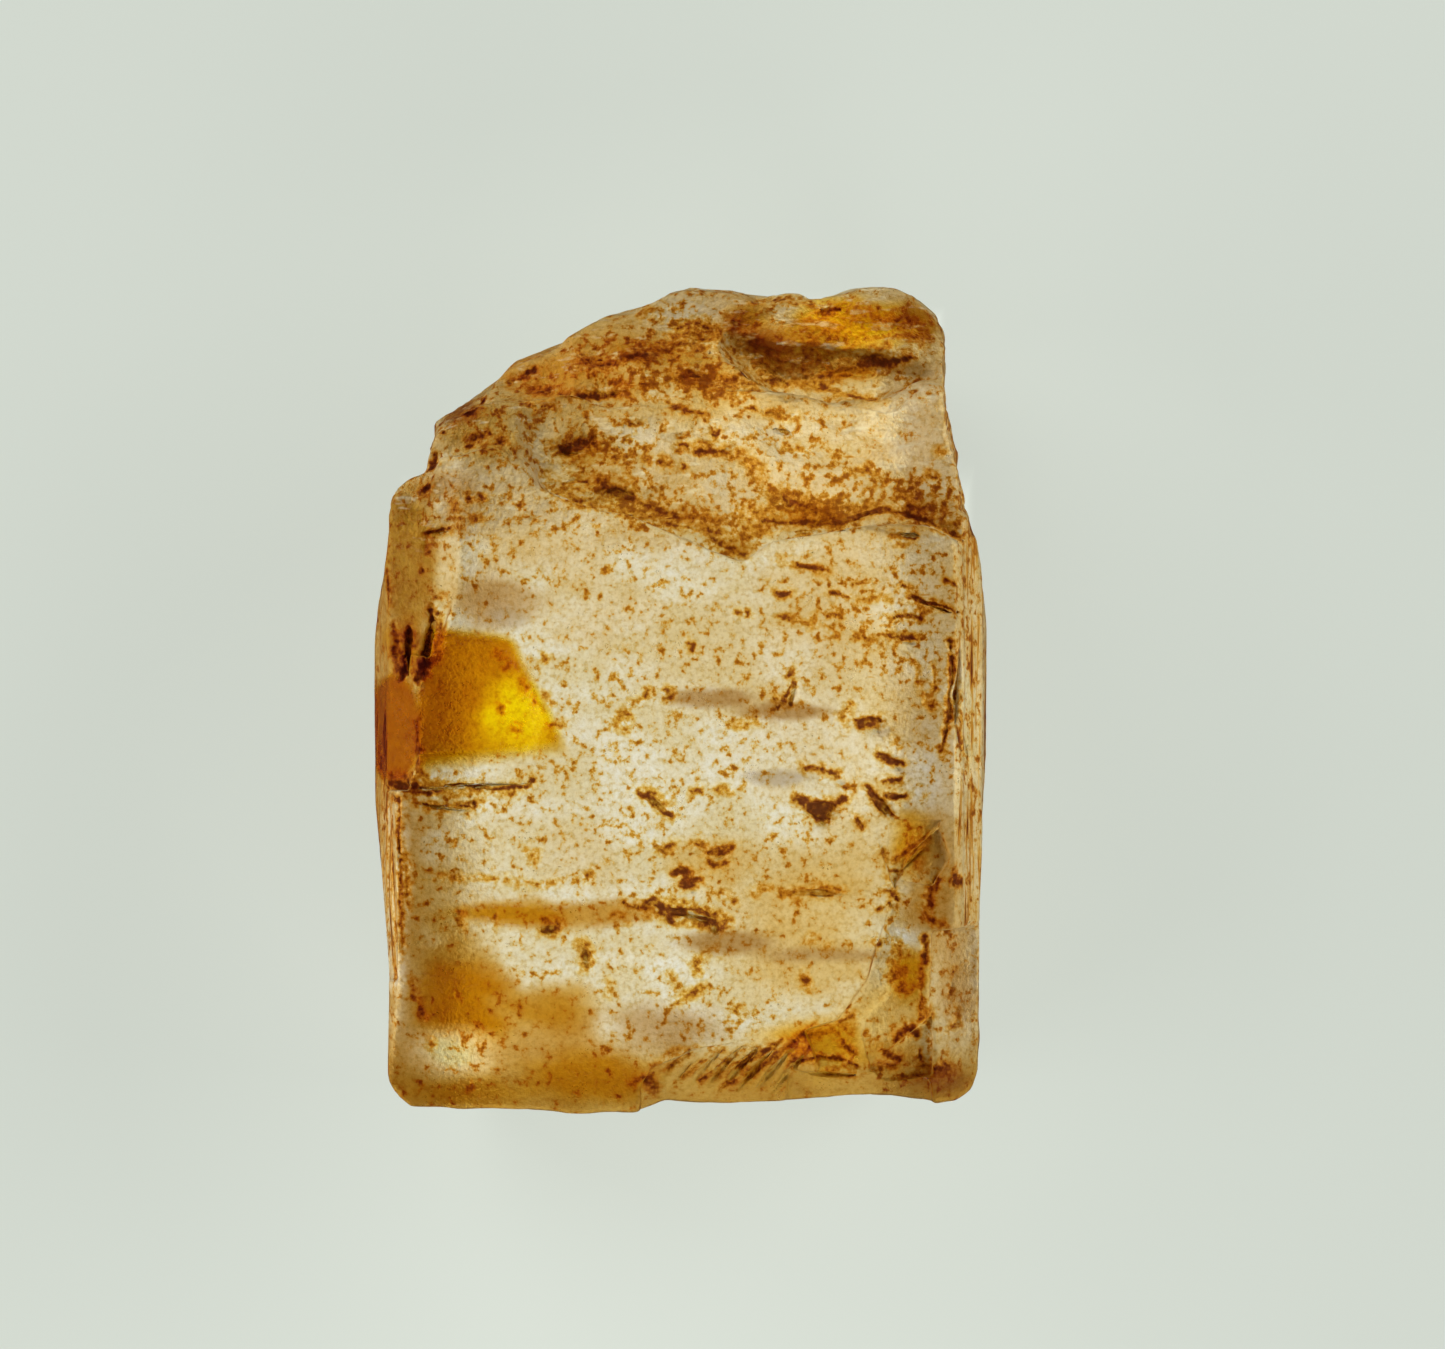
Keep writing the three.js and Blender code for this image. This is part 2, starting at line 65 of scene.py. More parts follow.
camera_data = bpy.data.cameras.new("macro camera")
camera_data.sensor_width = 36
camera_data.lens = camera_data.sensor_width * CAMERA_UP / VIEW_WIDTH
camera_data.clip_start = 0.01
camera_data.clip_end = 10
camera = bpy.data.objects.new("macro camera", camera_data)
camera.location = (*CAMERA_OVER, GIRDLE_UP + CAMERA_UP)
scene.collection.objects.link(camera)
scene.camera = camera
print("lens:", round(camera_data.lens), "mm")

# %% [markdown]
# ## The light pad
# The pad is a sheet of milky plastic lit from below. It could be a bright plane with nothing else,
# but a real pad has a body colour as well, which catches the stone's soft shadow. So it gets both:
# a grey-green body, and a glow. The glow is stronger under the stone, and that is what makes the
# crystal light up from inside. It is built from patches, each a soft-edged square or ellipse. Three
# of them cover the resting face, and the brightest one wins, so they don't show as three. The others
# are added on top, where the light has a long way up through the stone: at the thick end and along
# the rims. Two faint, wide ones make the pad a little brighter around the stone and beyond its foot.

# %% Mix the plastic of the pad
PAD_BODY = (0.16, 0.17, 0.155)
PAD_LIGHT = (0.583, 0.628, 0.563)

pad_material = bpy.data.materials.new("glowing pad")
pad_material.use_nodes = True
pad_nodes = pad_material.node_tree.nodes
pad_links = pad_material.node_tree.links
pad_shader = pad_nodes["Principled BSDF"]
pad_shader.inputs["Base Color"].default_value = (*PAD_BODY, 1)
pad_shader.inputs["Roughness"].default_value = 0.9
pad_shader.inputs["Specular IOR Level"].default_value = 0.1
pad_shader.inputs["Emission Color"].default_value = (*PAD_LIGHT, 1)
print("pad plastic: body", PAD_BODY, " light", PAD_LIGHT)

# %% A patch of glow
def pad_math(operation, first, second):
    node = pad_nodes.new("ShaderNodeMath")
    node.operation = operation
    for value, socket in zip((first, second), node.inputs):
        if isinstance(value, float):
            socket.default_value = value
        else:
            pad_links.new(value, socket)
    return node.outputs["Value"]

def lamp_patch(centre, reach, fade, glow, square=False):
    """Glow that is full in the middle of the patch and fades out between `fade` and 1 of its reach."""
    centred = pad_nodes.new("ShaderNodeMapping")
    centred.vector_type = "TEXTURE"
    centred.inputs["Location"].default_value = (centre[0] * MM, centre[1] * MM, 0)
    centred.inputs["Scale"].default_value = (reach[0] * MM, reach[1] * MM, 1)
    pad_links.new(place.outputs["Object"], centred.inputs["Vector"])
    away = pad_nodes.new("ShaderNodeVectorMath")
    away.operation = "ABSOLUTE" if square else "LENGTH"
    pad_links.new(centred.outputs["Vector"], away.inputs[0])
    if square:
        sides = pad_nodes.new("ShaderNodeSeparateXYZ")
        pad_links.new(away.outputs["Vector"], sides.inputs["Vector"])
        distance = pad_math("MAXIMUM", sides.outputs["X"], sides.outputs["Y"])
    else:
        distance = away.outputs["Value"]
    spot = pad_nodes.new("ShaderNodeMapRange")
    spot.interpolation_type = "SMOOTHSTEP"
    spot.inputs["From Min"].default_value = fade
    spot.inputs["From Max"].default_value = 1
    spot.inputs["To Min"].default_value = glow
    spot.inputs["To Max"].default_value = 0
    pad_links.new(distance, spot.inputs["Value"])
    return spot.outputs["Result"]

print("patch ready, soft between its full middle and its edge")

# %% Place the glow, in mm from the middle of the stone
PAD_GLOW = 0.78
UNDER_GLOW = 1.7
place = pad_nodes.new("ShaderNodeTexCoord")
under = {
    "body": lamp_patch((0.0, -3.0), (9.6, 10.6), 0.68, UNDER_GLOW, square=True),
    "end": lamp_patch((1.6, 3.4), (7.8, 9.8), 0.70, UNDER_GLOW),
    "right": lamp_patch((3.9, 4.5), (5.1, 8.8), 0.70, UNDER_GLOW, square=True),
}
added = {
    "thick end": lamp_patch((4.2, 8.9), (4.9, 4.9), 0.3, 1.8),
    "left rim": lamp_patch((-7.8, -6.3), (1.8, 7.0), 0.0, 2.2, square=True),
    "left corner": lamp_patch((-7.3, -11.1), (2.0, 2.0), 0.0, 1.8),
    "right rim": lamp_patch((7.8, -0.5), (2.2, 8.6), 0.0, 2.8, square=True),
    "around": lamp_patch((4.0, -3.0), (26.0, 34.0), 0.30, 0.10),
    "foot side": lamp_patch((0.0, -60.0), (60.0, 60.0), 0.0, 0.24),
}
lamps = 0.0
for patch in under.values():
    lamps = pad_math("MAXIMUM", lamps, patch)
for patch in added.values():
    lamps = pad_math("ADD", lamps, patch)
glow = pad_math("ADD", lamps, PAD_GLOW)
pad_links.new(glow, pad_shader.inputs["Emission Strength"])
print(len(under) + len(added), "patches of glow over a plain", PAD_GLOW)

# %% Lay the pad down
PAD_SIDE = 1.6
PAD_BELOW = 0.02 * MM
bpy.ops.mesh.primitive_plane_add(size=PAD_SIDE, location=(0, 0, -PAD_BELOW))
pad = bpy.context.object
pad.name = "light_pad"
pad.data.materials.append(pad_material)
pad.visible_glossy = False
print("pad:", PAD_SIDE, "m square")

# %% [markdown]
# ## Soft light from above
# The pad lights the stone from below. From above it needs little: a dim room all round, one broad
# window light from the upper left, which brings out the ledges and the etched skin, and three
# weaker ones, so that no flank goes black.
#
# A polished or frosted crystal mirrors its lamps as white glare, mostly at the rims, and glare
# washes the honey colour out. In a workshop a polarising filter cuts it. Here the lamps are hidden
# from mirrored and refracted rays, and the pad is hidden from mirrored ones. The lamps still light
# the skin, and the pad still shines up through the stone.
# The colours should come out as set, so the plain Standard view is used.

# %% Light the room
scene.view_settings.view_transform = "Standard"
scene.view_settings.look = "None"

ROOM_COLOUR = (1.0, 1.0, 0.98)
ROOM_STRENGTH = 0.025
world = bpy.data.worlds.new("pale room")
scene.world = world
world.use_nodes = True
world.node_tree.nodes["Background"].inputs["Color"].default_value = (*ROOM_COLOUR, 1)
world.node_tree.nodes["Background"].inputs["Strength"].default_value = ROOM_STRENGTH

def soft_light(name, size, power, spot, aim=(0, 0, 0)):
    data = bpy.data.lights.new(name, "AREA")
    data.shape = "SQUARE"
    data.size = size
    data.energy = power
    lamp = bpy.data.objects.new(name, data)
    lamp.location = spot
    lamp.rotation_euler = (Vector(aim) - Vector(spot)).to_track_quat("-Z", "Y").to_euler()
    lamp.visible_glossy = False
    lamp.visible_transmission = False
    scene.collection.objects.link(lamp)
    print(name, "light:", power, "W,", size, "m square")

LIGHT_SIDE = 0.70
soft_light("window", LIGHT_SIDE, 8.8, (-0.62, 0.62, 0.42))
soft_light("right fill", LIGHT_SIDE, 6.6, (0.80, 0.20, 0.40))
soft_light("left fill", LIGHT_SIDE, 6.6, (-0.80, -0.25, 0.40))
soft_light("foot fill", LIGHT_SIDE, 6.4, (0.20, -0.85, 0.40))

# %% [markdown]
# ## Marks: cracks, pits and iron stains
# Iron water dries in every crack and pit, and leaves rust-brown fillings with an orange rim. There
# is no rule for where a stone cracks, so each mark is given one by one, as a short stroke of a brush.
# `level` says how strong the stain is, from 0.16 for a faint ochre tint to 1 for a nearly black
# filling. `depth` is how far the stroke cuts in, in millimetres. Then come a few points.
#
# The points are counted in dots, thirty to the millimetre, on a sheet laid over the face: dots to the
# right of the sheet's upper left corner, dots down from it, and half the width of the stroke. That is
# handy for listing them, and `mark` turns dots into hundredths of a millimetre.
#
# Strokes are drawn as rows of tapering capsules, which needs only the distance to a line.

# %% A brush for marks
DOTS_PER_MM = 30
MIDDLE_RIGHT, MIDDLE_DOWN = 680.5, 697
FAR_OUTSIDE = -9.0
TINY = 1e-9
marks = []

def mark(name, level, depth, *points_in_dots):
    """Note one stroke. The stone's own middle lies under the dot MIDDLE_RIGHT, MIDDLE_DOWN."""
    stroke = []
    for right, down, half_width in points_in_dots:
        offsets = (right - MIDDLE_RIGHT, MIDDLE_DOWN - down, half_width)
        stroke.append([round(dots / DOTS_PER_MM, 2) for dots in offsets])
    marks.append((name, level, depth, stroke))

def stroke_inset(p, stroke):
    """How far inside the stroke's edge each point lies, in mm, and the stroke's half width there."""
    inset = np.full(len(p), FAR_OUTSIDE)
    width = np.ones(len(p))
    for (ax, ay, aw), (bx, by, bw) in zip(stroke, stroke[1:]):
        along = np.array([bx - ax, by - ay])
        t = np.clip((p - (ax, ay)) @ along / max(along @ along, TINY), 0, 1)
        gap = np.linalg.norm(p - (ax, ay) - t[:, None] * along, axis=1)
        here = aw + (bw - aw) * t
        width = np.where(here - gap > inset, here, width)
        inset = np.maximum(inset, here - gap)
    return inset, width

def in_box(p, stroke, margin):
    """Which points are worth asking: those in the stroke's box, widened by a margin."""
    centres = np.array([spot[:2] for spot in stroke])
    widest = max(spot[2] for spot in stroke) + margin
    low, high = centres.min(axis=0) - widest, centres.max(axis=0) + widest
    return np.nonzero(((p > low) & (p < high)).all(axis=1))[0]

print("brush ready, one dot is %.3f mm" % (1 / DOTS_PER_MM))

# %% Marks: the etched end, left half
mark("left blotch", 0.85, 0.05, (560, 449, 1.5), (567, 452, 5), (580, 448, 6), (595, 442, 4))
mark("left blotch halo", 0.35, 0, (556, 448, 3), (575, 455, 9), (600, 450, 9), (622, 462, 5))
mark("small triangle", 0.6, 0.05, (658, 466, 2), (664, 462, 4), (669, 467, 2))
mark("small triangle left", 0.45, 0.03, (645, 459, 3), (650, 464, 2))
mark("ledge blotch", 0.75, 0.05, (604, 486, 3), (613, 491, 5), (626, 496, 5), (633, 500, 3))
mark("ledge blotch halo", 0.32, 0, (600, 482, 5), (622, 488, 11), (632, 490, 7))
mark("ochre patch", 0.3, 0, (546, 480, 6), (560, 492, 9), (578, 486, 8))
mark("patch slit", 0.7, 0.04, (566, 486, 1.2), (576, 483, 2.2), (588, 484, 1.2))
mark("ledge band a", 0.42, 0, (560, 497, 4), (600, 507, 6), (640, 510, 8), (680, 520, 9), (715, 527, 8))
mark("ledge band a dark", 0.68, 0.04, (645, 507, 2), (662, 514, 4), (676, 518, 3))
mark("ledge band a line", 0.62, 0.05, (655, 522, 1), (690, 530, 2), (715, 535, 1.5))
mark("wavy streak", 0.5, 0.03, (530, 394, 3), (552, 391, 5), (575, 397, 4), (600, 398, 4), (620, 397, 3))
mark("wavy streak dark", 0.85, 0.04, (568, 398, 1.5), (580, 399, 2.5), (606, 399, 2.5), (620, 397, 1.5))
mark("slit left one", 0.85, 0.05, (527, 405, 1.5), (536, 411, 2))
mark("slit left two", 0.8, 0.05, (542, 410, 1.5), (549, 408, 2.2), (556, 410, 1.8))
mark("wash band high", 0.36, 0, (577, 366, 6), (600, 363, 7), (625, 362, 8), (655, 352, 8),
    (690, 335, 10), (715, 340, 8))
mark("wash band high dark", 0.6, 0.03, (583, 362, 2), (600, 367, 3), (618, 365, 3), (640, 357, 4),
    (655, 350, 3))
mark("edge slit", 0.75, 0.05, (528, 375, 2), (536, 372, 3))
mark("edge slit low", 0.6, 0.04, (510, 384, 2), (524, 380, 2.5))
mark("notch brown", 0.62, 0, (452, 416, 5), (466, 413, 8), (480, 408, 7))
mark("notch brown dark", 0.95, 0.08, (462, 409, 2), (467, 407, 3), (485, 403, 2))
mark("notch deep", 0.9, 0.08, (470, 418, 3), (477, 412, 4))
mark("notch wedge", 1, 0.08, (428, 472, 3), (435, 466, 5), (438, 458, 2))
mark("notch left speck", 0.8, 0.03, (447, 432, 2), (446, 436, 1.5))
mark("orange patch", 0.38, 0, (475, 442, 6), (490, 446, 8), (506, 443, 6))
mark("orange patch dark", 0.75, 0.04, (473, 449, 3), (480, 440, 2), (492, 436, 2))
mark("orange patch tail", 0.7, 0.03, (498, 447, 1.5), (510, 443, 1.5))
mark("corner dark", 0.8, 0.05, (427, 494, 2), (433, 489, 2))
mark("orange zone crack", 0.8, 0.08, (428, 535, 1.5), (445, 532, 2), (459, 528, 1))
mark("orange zone stem", 0.6, 0.06, (431, 536, 2), (430, 548, 3), (430, 556, 2))
mark("orange zone side", 0.4, 0, (458, 505, 3), (462, 516, 4), (458, 527, 3))
mark("rim specks one", 0.75, 0.04, (471, 496, 1.5), (473, 501, 1.5))
mark("rim specks two", 0.7, 0.04, (484, 499, 1.5), (487, 503, 1.5))
mark("rim specks three", 0.5, 0, (478, 520, 3), (485, 521, 2))
mark("star speck", 0.85, 0.04, (631, 425, 1), (635, 428, 2.5), (640, 427, 1))
mark("smudge top", 0.33, 0, (641, 317, 3), (652, 315, 4), (662, 317, 2))
mark("thin line left", 0.7, 0.04, (667, 404, 1), (675, 410, 2), (688, 414, 2), (705, 416, 1))
print(len(marks), "marks so far")

# %% Marks: the end lump and its pocket
mark("pocket dark left", 0.34, 0, (728, 322, 6), (738, 336, 9), (752, 350, 11), (768, 364, 12),
    (780, 374, 10))
mark("pocket halo left", 0.2, 0, (718, 330, 5), (735, 350, 9), (760, 372, 12))
mark("pocket dark mid", 0.36, 0, (803, 352, 5), (812, 345, 9), (820, 338, 5))
mark("pocket dark low", 0.34, 0, (780, 378, 7), (800, 374, 10), (812, 362, 9))
mark("pocket tip", 0.85, 0.05, (862, 364, 5), (874, 362, 7), (890, 365, 4.5), (903, 362, 3),
    (915, 358, 1.5))
mark("pocket tip halo", 0.24, 0, (850, 362, 5), (880, 360, 11), (905, 355, 6))
mark("pocket rim", 0.5, 0.03, (765, 382, 2.5), (790, 384, 5), (820, 380, 7), (850, 374, 5), (880, 371, 3))
mark("pocket rim low", 0.55, 0.03, (808, 386, 2), (825, 390, 4), (838, 393, 3))
mark("pocket rim tail", 0.62, 0.04, (838, 393, 1.5), (855, 399, 1.2), (868, 401, 1.8), (884, 400, 1))
mark("pocket ochre", 0.16, 0, (800, 330, 9), (835, 320, 14), (865, 322, 15), (900, 335, 12))
mark("pocket ochre low", 0.18, 0, (790, 352, 8), (830, 352, 12), (860, 345, 12))
mark("lump stain", 0.32, 0, (893, 318, 4), (903, 324, 8), (915, 332, 8), (920, 344, 5))
mark("lump stain halo", 0.25, 0, (880, 322, 6), (900, 330, 12), (922, 340, 7))
mark("lump speck", 0.8, 0.03, (827, 312, 1.5), (834, 311, 2.5), (840, 311, 1))
mark("lens edge", 0.5, 0.03, (752, 303, 2), (775, 299, 3), (800, 303, 3), (812, 305, 1.5))
mark("mottle high", 0.5, 0, (678, 333, 4), (690, 325, 5), (704, 326, 5), (713, 335, 4))
mark("mottle high low", 0.45, 0, (676, 345, 5), (690, 350, 6), (705, 350, 4))
mark("wave one", 0.6, 0.04, (688, 373, 1.5), (700, 376, 3), (712, 378, 2))
mark("wave two", 0.6, 0.04, (694, 389, 1.5), (706, 389, 3), (718, 387, 2))
mark("wave three", 0.5, 0.03, (722, 380, 3), (730, 388, 5), (738, 382, 3), (750, 386, 3))
mark("wave four", 0.45, 0.03, (670, 374, 4), (680, 381, 4), (690, 384, 3))
mark("wave five", 0.42, 0, (720, 398, 3), (740, 397, 4), (756, 392, 2))
mark("spindle", 0.55, 0.04, (765, 416, 1.2), (780, 419, 3.2), (795, 421, 1.5))
mark("spindle small", 0.55, 0.03, (742, 410, 1.5), (749, 410, 2.5), (755, 412, 1.5))
mark("hook", 0.85, 0.05, (711, 430, 1.5), (712, 435, 1.8), (717, 437, 1.8), (718, 433, 1))
print(len(marks), "marks so far")

# %% Marks: the ledge across the face
mark("rusty streak", 0.34, 0, (699, 449, 4), (715, 451, 5.5), (735, 454, 4.5), (745, 459, 2))
mark("rusty streak dark", 0.7, 0.04, (698, 455, 2), (708, 453, 2), (728, 455, 1.5))
mark("curl", 0.75, 0.04, (679, 456, 1.2), (679, 449, 1.4), (684, 446, 1.4), (688, 449, 1))
mark("curl drop", 0.7, 0.03, (683, 466, 1.2), (684, 472, 1.5))
mark("strokes mid", 0.62, 0.04, (746, 467, 2), (752, 476, 2.5), (757, 486, 1.5))
mark("strokes mid two", 0.4, 0, (752, 466, 4), (762, 472, 3))
mark("speck right", 0.55, 0.03, (789, 453, 2), (797, 451, 2))
mark("patch one", 0.38, 0, (768, 494, 4), (785, 500, 8), (805, 503, 9), (822, 508, 6))
mark("patch one dark", 0.7, 0.04, (782, 497, 2), (790, 505, 4), (802, 510, 5), (815, 512, 4))
mark("patch two", 0.55, 0.02, (854, 473, 2), (866, 471, 3), (877, 480, 4), (873, 489, 3))
mark("patch three", 0.38, 0, (898, 494, 3), (905, 503, 6), (918, 508, 8), (930, 504, 5))
mark("patch three dark", 0.72, 0.03, (906, 508, 2.5), (918, 513, 4), (926, 505, 2.5))
mark("ledge crack", 0.85, 0.1, (763, 522, 1.5), (790, 524, 2.5), (820, 526, 3), (845, 522, 3),
    (862, 516, 2.5), (880, 512, 3), (900, 515, 2), (925, 520, 1.2))
mark("ledge crack right", 0.75, 0.1, (905, 517, 2), (925, 523, 3), (940, 530, 3.5), (962, 540, 2))
mark("ledge crack halo", 0.4, 0, (740, 518, 5), (770, 517, 8), (805, 520, 9), (845, 515, 8),
    (885, 508, 7))
mark("ledge halo right", 0.42, 0, (905, 513, 6), (935, 522, 8), (955, 533, 4))
mark("ledge V", 0.6, 0.06, (711, 538, 2), (722, 545, 3.5), (735, 552, 4), (746, 556, 2))
mark("ledge V halo", 0.36, 0, (700, 528, 5), (725, 543, 8), (748, 546, 7))
mark("ledge dip right", 0.35, 0, (748, 536, 6), (765, 528, 7))
print(len(marks), "marks so far")

# %% Marks: the shoulder under the ledge
mark("slit under ledge a", 0.8, 0.06, (889, 539, 1.5), (898, 537, 2.5), (912, 539, 1.5))
mark("slit under ledge b", 0.6, 0.04, (893, 545, 1.5), (902, 546, 2))
mark("right edge notch", 0.75, 0.05, (925, 478, 1.5), (934, 480, 2))
mark("right edge dark", 0.5, 0.03, (934, 453, 1.5), (940, 455, 2.5))
mark("long slit", 0.92, 0.14, (909, 598, 2.5), (920, 603, 3), (935, 607, 2.2), (950, 612, 2.2),
    (957, 614, 1))
mark("slit two", 0.88, 0.1, (889, 619, 1), (900, 617, 2.2), (912, 617, 1.6), (920, 621, 1))
mark("slit two dot", 0.8, 0.05, (918, 614, 1.5), (924, 611, 1.5))
mark("slit three", 0.85, 0.06, (899, 588, 1.5), (908, 589, 1.5))
mark("slit four", 0.85, 0.12, (880, 635, 1), (895, 638, 2), (908, 640, 3), (916, 641, 1))
mark("slit five", 0.6, 0.06, (854, 638, 1.2), (864, 640, 2.2), (878, 643, 1.2))
mark("slit six", 0.8, 0.06, (822, 592, 1), (836, 596, 1.8), (850, 597, 1))
mark("slit seven", 0.85, 0.06, (775, 592, 1), (782, 596, 2), (789, 594, 1))
mark("slit eight", 0.7, 0.06, (781, 618, 1.5), (792, 621, 1.8), (806, 625, 1))
mark("cluster eight", 0.55, 0, (808, 624, 3), (814, 618, 4), (816, 613, 2))
mark("slit nine", 0.8, 0.06, (796, 566, 1.5), (812, 569, 2.4), (826, 572, 1.8))
mark("slit nine left", 0.5, 0.03, (780, 562, 2), (796, 566, 2))
mark("slit ten", 0.6, 0.04, (850, 586, 1), (862, 584, 1.5), (870, 586, 1))
mark("line ten", 0.45, 0, (855, 602, 1), (870, 598, 1.4), (887, 602, 1))
mark("ring", 0.55, 0.03, (826, 617, 2), (832, 613, 1.5), (836, 618, 1.5))
mark("ring low", 0.6, 0.03, (826, 628, 1.5), (832, 632, 2.5), (834, 638, 1.5))
mark("slit eleven", 0.75, 0.04, (942, 583, 1.5), (953, 586, 1.5))
mark("hook left", 0.8, 0.04, (737, 612, 1.3), (746, 612, 1.3), (747, 616, 1.3))
print(len(marks), "marks so far")

# %% Marks: the middle of the face
mark("slant streak top", 0.8, 0.06, (790, 672, 2.2), (787, 677, 2.2))
mark("slant streak", 0.78, 0.08, (793, 683, 2), (788, 690, 2.2), (783, 699, 2.2), (777, 709, 1))
mark("slant streak two", 0.7, 0.05, (789, 698, 1.2), (791, 704, 1.2))
mark("veil speck", 0.7, 0.04, (772, 698, 1.5), (775, 698, 2))
mark("veil root", 0.7, 0.06, (667, 690, 2), (672, 694, 4), (667, 700, 1.5))
mark("curl left one", 0.5, 0.03, (617, 723, 2), (620, 716, 2.5), (628, 713, 3), (633, 716, 3))
mark("curl left two", 0.45, 0, (633, 706, 2), (626, 728, 2.5))
mark("diagonal thin", 0.7, 0.05, (640, 703, 1.2), (645, 697, 1.8), (649, 690, 1))
mark("blob mid", 0.45, 0, (736, 726, 2.5), (742, 723, 3.5), (747, 720, 2))
mark("slit mid", 0.7, 0.05, (755, 721, 1.5), (756, 715, 1.5))
mark("big pit right", 0.9, 0.15, (859, 723, 4.5), (866, 721, 6), (874, 721, 5), (880, 721, 2))
mark("thin curve", 0.7, 0.05, (842, 728, 1), (841, 718, 1.8), (844, 709, 1.2), (849, 703, 1))
mark("slash right", 0.85, 0.1, (877, 753, 2.5), (886, 758, 3.2), (896, 762, 2.2), (902, 762, 1))
mark("slash right up", 0.7, 0.05, (892, 736, 2), (895, 743, 2), (899, 747, 1.5))
mark("pair one", 0.88, 0.1, (804, 767, 3.5), (812, 766, 3), (821, 768, 2))
mark("pair two", 0.88, 0.1, (828, 771, 2), (834, 773, 3.2), (836, 776, 2))
mark("W pit left", 0.9, 0.12, (797, 796, 3), (804, 800, 5), (810, 806, 7), (817, 812, 6), (822, 816, 2.5))
mark("W pit core", 1, 0.16, (808, 803, 5), (816, 806, 8), (824, 806, 6), (832, 804, 4))
mark("W pit right", 0.88, 0.1, (828, 804, 4), (836, 800, 4), (842, 797, 2))
mark("W pit drip", 0.75, 0.04, (827, 815, 1.2), (828, 820, 1))
mark("W pit lip", 0.7, 0.05, (842, 785, 1.5), (848, 787, 2), (852, 789, 1))
mark("right slant", 0.85, 0.12, (866, 786, 2), (871, 794, 4), (878, 802, 5.5), (884, 808, 4.5))
mark("right slant drop", 0.8, 0.08, (888, 812, 2), (895, 816, 2))
mark("right pair up", 0.78, 0.08, (881, 780, 2.5), (890, 780, 3), (898, 779, 2))
mark("right pair low", 0.88, 0.1, (884, 792, 2), (892, 795, 3.2), (903, 794, 1.5))
mark("right slit", 0.75, 0.06, (853, 815, 1.2), (857, 820, 1.8), (861, 826, 1))
mark("diagonal left", 0.72, 0.08, (641, 792, 3), (648, 795, 4), (655, 800, 3), (663, 808, 3.5),
    (673, 814, 2))
mark("diagonal left halo", 0.38, 0, (640, 788, 3), (655, 797, 6), (668, 802, 5))
mark("bits", 0.65, 0.04, (693, 790, 1.5), (699, 788, 3), (702, 792, 1.5))
mark("bits right", 0.5, 0.03, (715, 789, 1.5), (724, 787, 2), (730, 790, 1.5))
mark("small corner", 0.7, 0.04, (690, 644, 1.5), (694, 646, 2), (693, 650, 1.2))
print(len(marks), "marks so far")

# %% Marks: the lower face
mark("brown bit low", 0.6, 0.04, (585, 877, 2), (591, 873, 2.5), (593, 869, 1.5))
mark("ochre bit low", 0.42, 0.02, (530, 849, 2.5), (536, 852, 3), (536, 859, 2))
mark("top of cluster", 0.7, 0.06, (656, 843, 2), (666, 848, 4.5), (672, 842, 3))
mark("cluster a", 0.75, 0.08, (675, 872, 4), (683, 866, 4), (690, 872, 4.5), (683, 880, 4))
mark("cluster b", 0.8, 0.08, (682, 884, 3), (692, 880, 4.5), (699, 876, 4))
mark("cluster up", 0.85, 0.1, (708, 850, 2.5), (716, 849, 4.5), (727, 848, 4), (733, 845, 2))
mark("cluster up left", 0.6, 0.04, (692, 842, 2.5), (702, 842, 3), (706, 850, 2))
mark("cluster small", 0.6, 0.03, (708, 857, 2), (712, 862, 2.5), (728, 860, 1.5))
mark("long dark", 0.9, 0.12, (625, 900, 1.5), (635, 905, 2.5), (645, 903, 4), (655, 898, 4.5),
    (662, 904, 4.5), (669, 913, 4), (673, 920, 2))
mark("long dark right", 0.85, 0.1, (664, 906, 4), (680, 909, 4), (697, 908, 4.5), (706, 912, 4.5))
mark("long dark knot", 0.75, 0.06, (700, 915, 4), (712, 915, 7), (722, 922, 6))
mark("long dark halo", 0.4, 0, (640, 902, 6), (668, 908, 10), (700, 912, 10), (720, 920, 10))
mark("bit right of it", 0.5, 0.03, (721, 890, 2.5), (728, 893, 2), (735, 899, 2))
mark("long ochre", 0.5, 0.06, (781, 889, 3), (798, 890, 4), (815, 888, 4.5), (826, 888, 4))
mark("long ochre core", 0.62, 0.04, (800, 890, 2), (818, 890, 3), (826, 891, 3), (842, 887, 2.5))
mark("long ochre mate", 0.4, 0, (754, 889, 2), (761, 886, 2.5), (769, 885, 1.5))
mark("blob left", 0.75, 0.08, (545, 928, 3), (552, 925, 5), (560, 922, 4))
mark("blob left halo", 0.45, 0, (547, 915, 4), (554, 922, 9), (562, 918, 5))
mark("orange oval", 0.42, 0.03, (583, 941, 4.5), (587, 950, 6), (590, 959, 6))
mark("pair low a", 0.5, 0.04, (463, 909, 2), (464, 915, 3), (466, 922, 3))
mark("pair low b", 0.5, 0.04, (500, 907, 1.5), (499, 914, 2.5), (498, 921, 1.5))
mark("bit low b", 0.4, 0, (617, 912, 2), (622, 910, 3), (628, 917, 2))
mark("drop a", 0.45, 0.03, (803, 970, 2.5), (805, 977, 4), (806, 983, 3))
mark("drop b", 0.55, 0.03, (823, 945, 2), (829, 941, 2.5))
mark("drop b left", 0.45, 0, (807, 936, 2.5), (812, 933, 3))
mark("drop c", 0.5, 0.02, (873, 937, 2), (875, 940, 2))
mark("drop d", 0.5, 0.03, (671, 970, 2), (674, 976, 2))
mark("drop e", 0.45, 0.03, (609, 978, 1.5), (609, 988, 1.5))
mark("drop f", 0.5, 0.02, (717, 947, 2), (714, 944, 2), (697, 955, 2.5), (697, 967, 3))
mark("drop g", 0.45, 0.02, (737, 1000, 3), (735, 1008, 2))
mark("streak low", 0.4, 0.02, (676, 1000, 2.5), (690, 990, 3), (705, 983, 2.5))
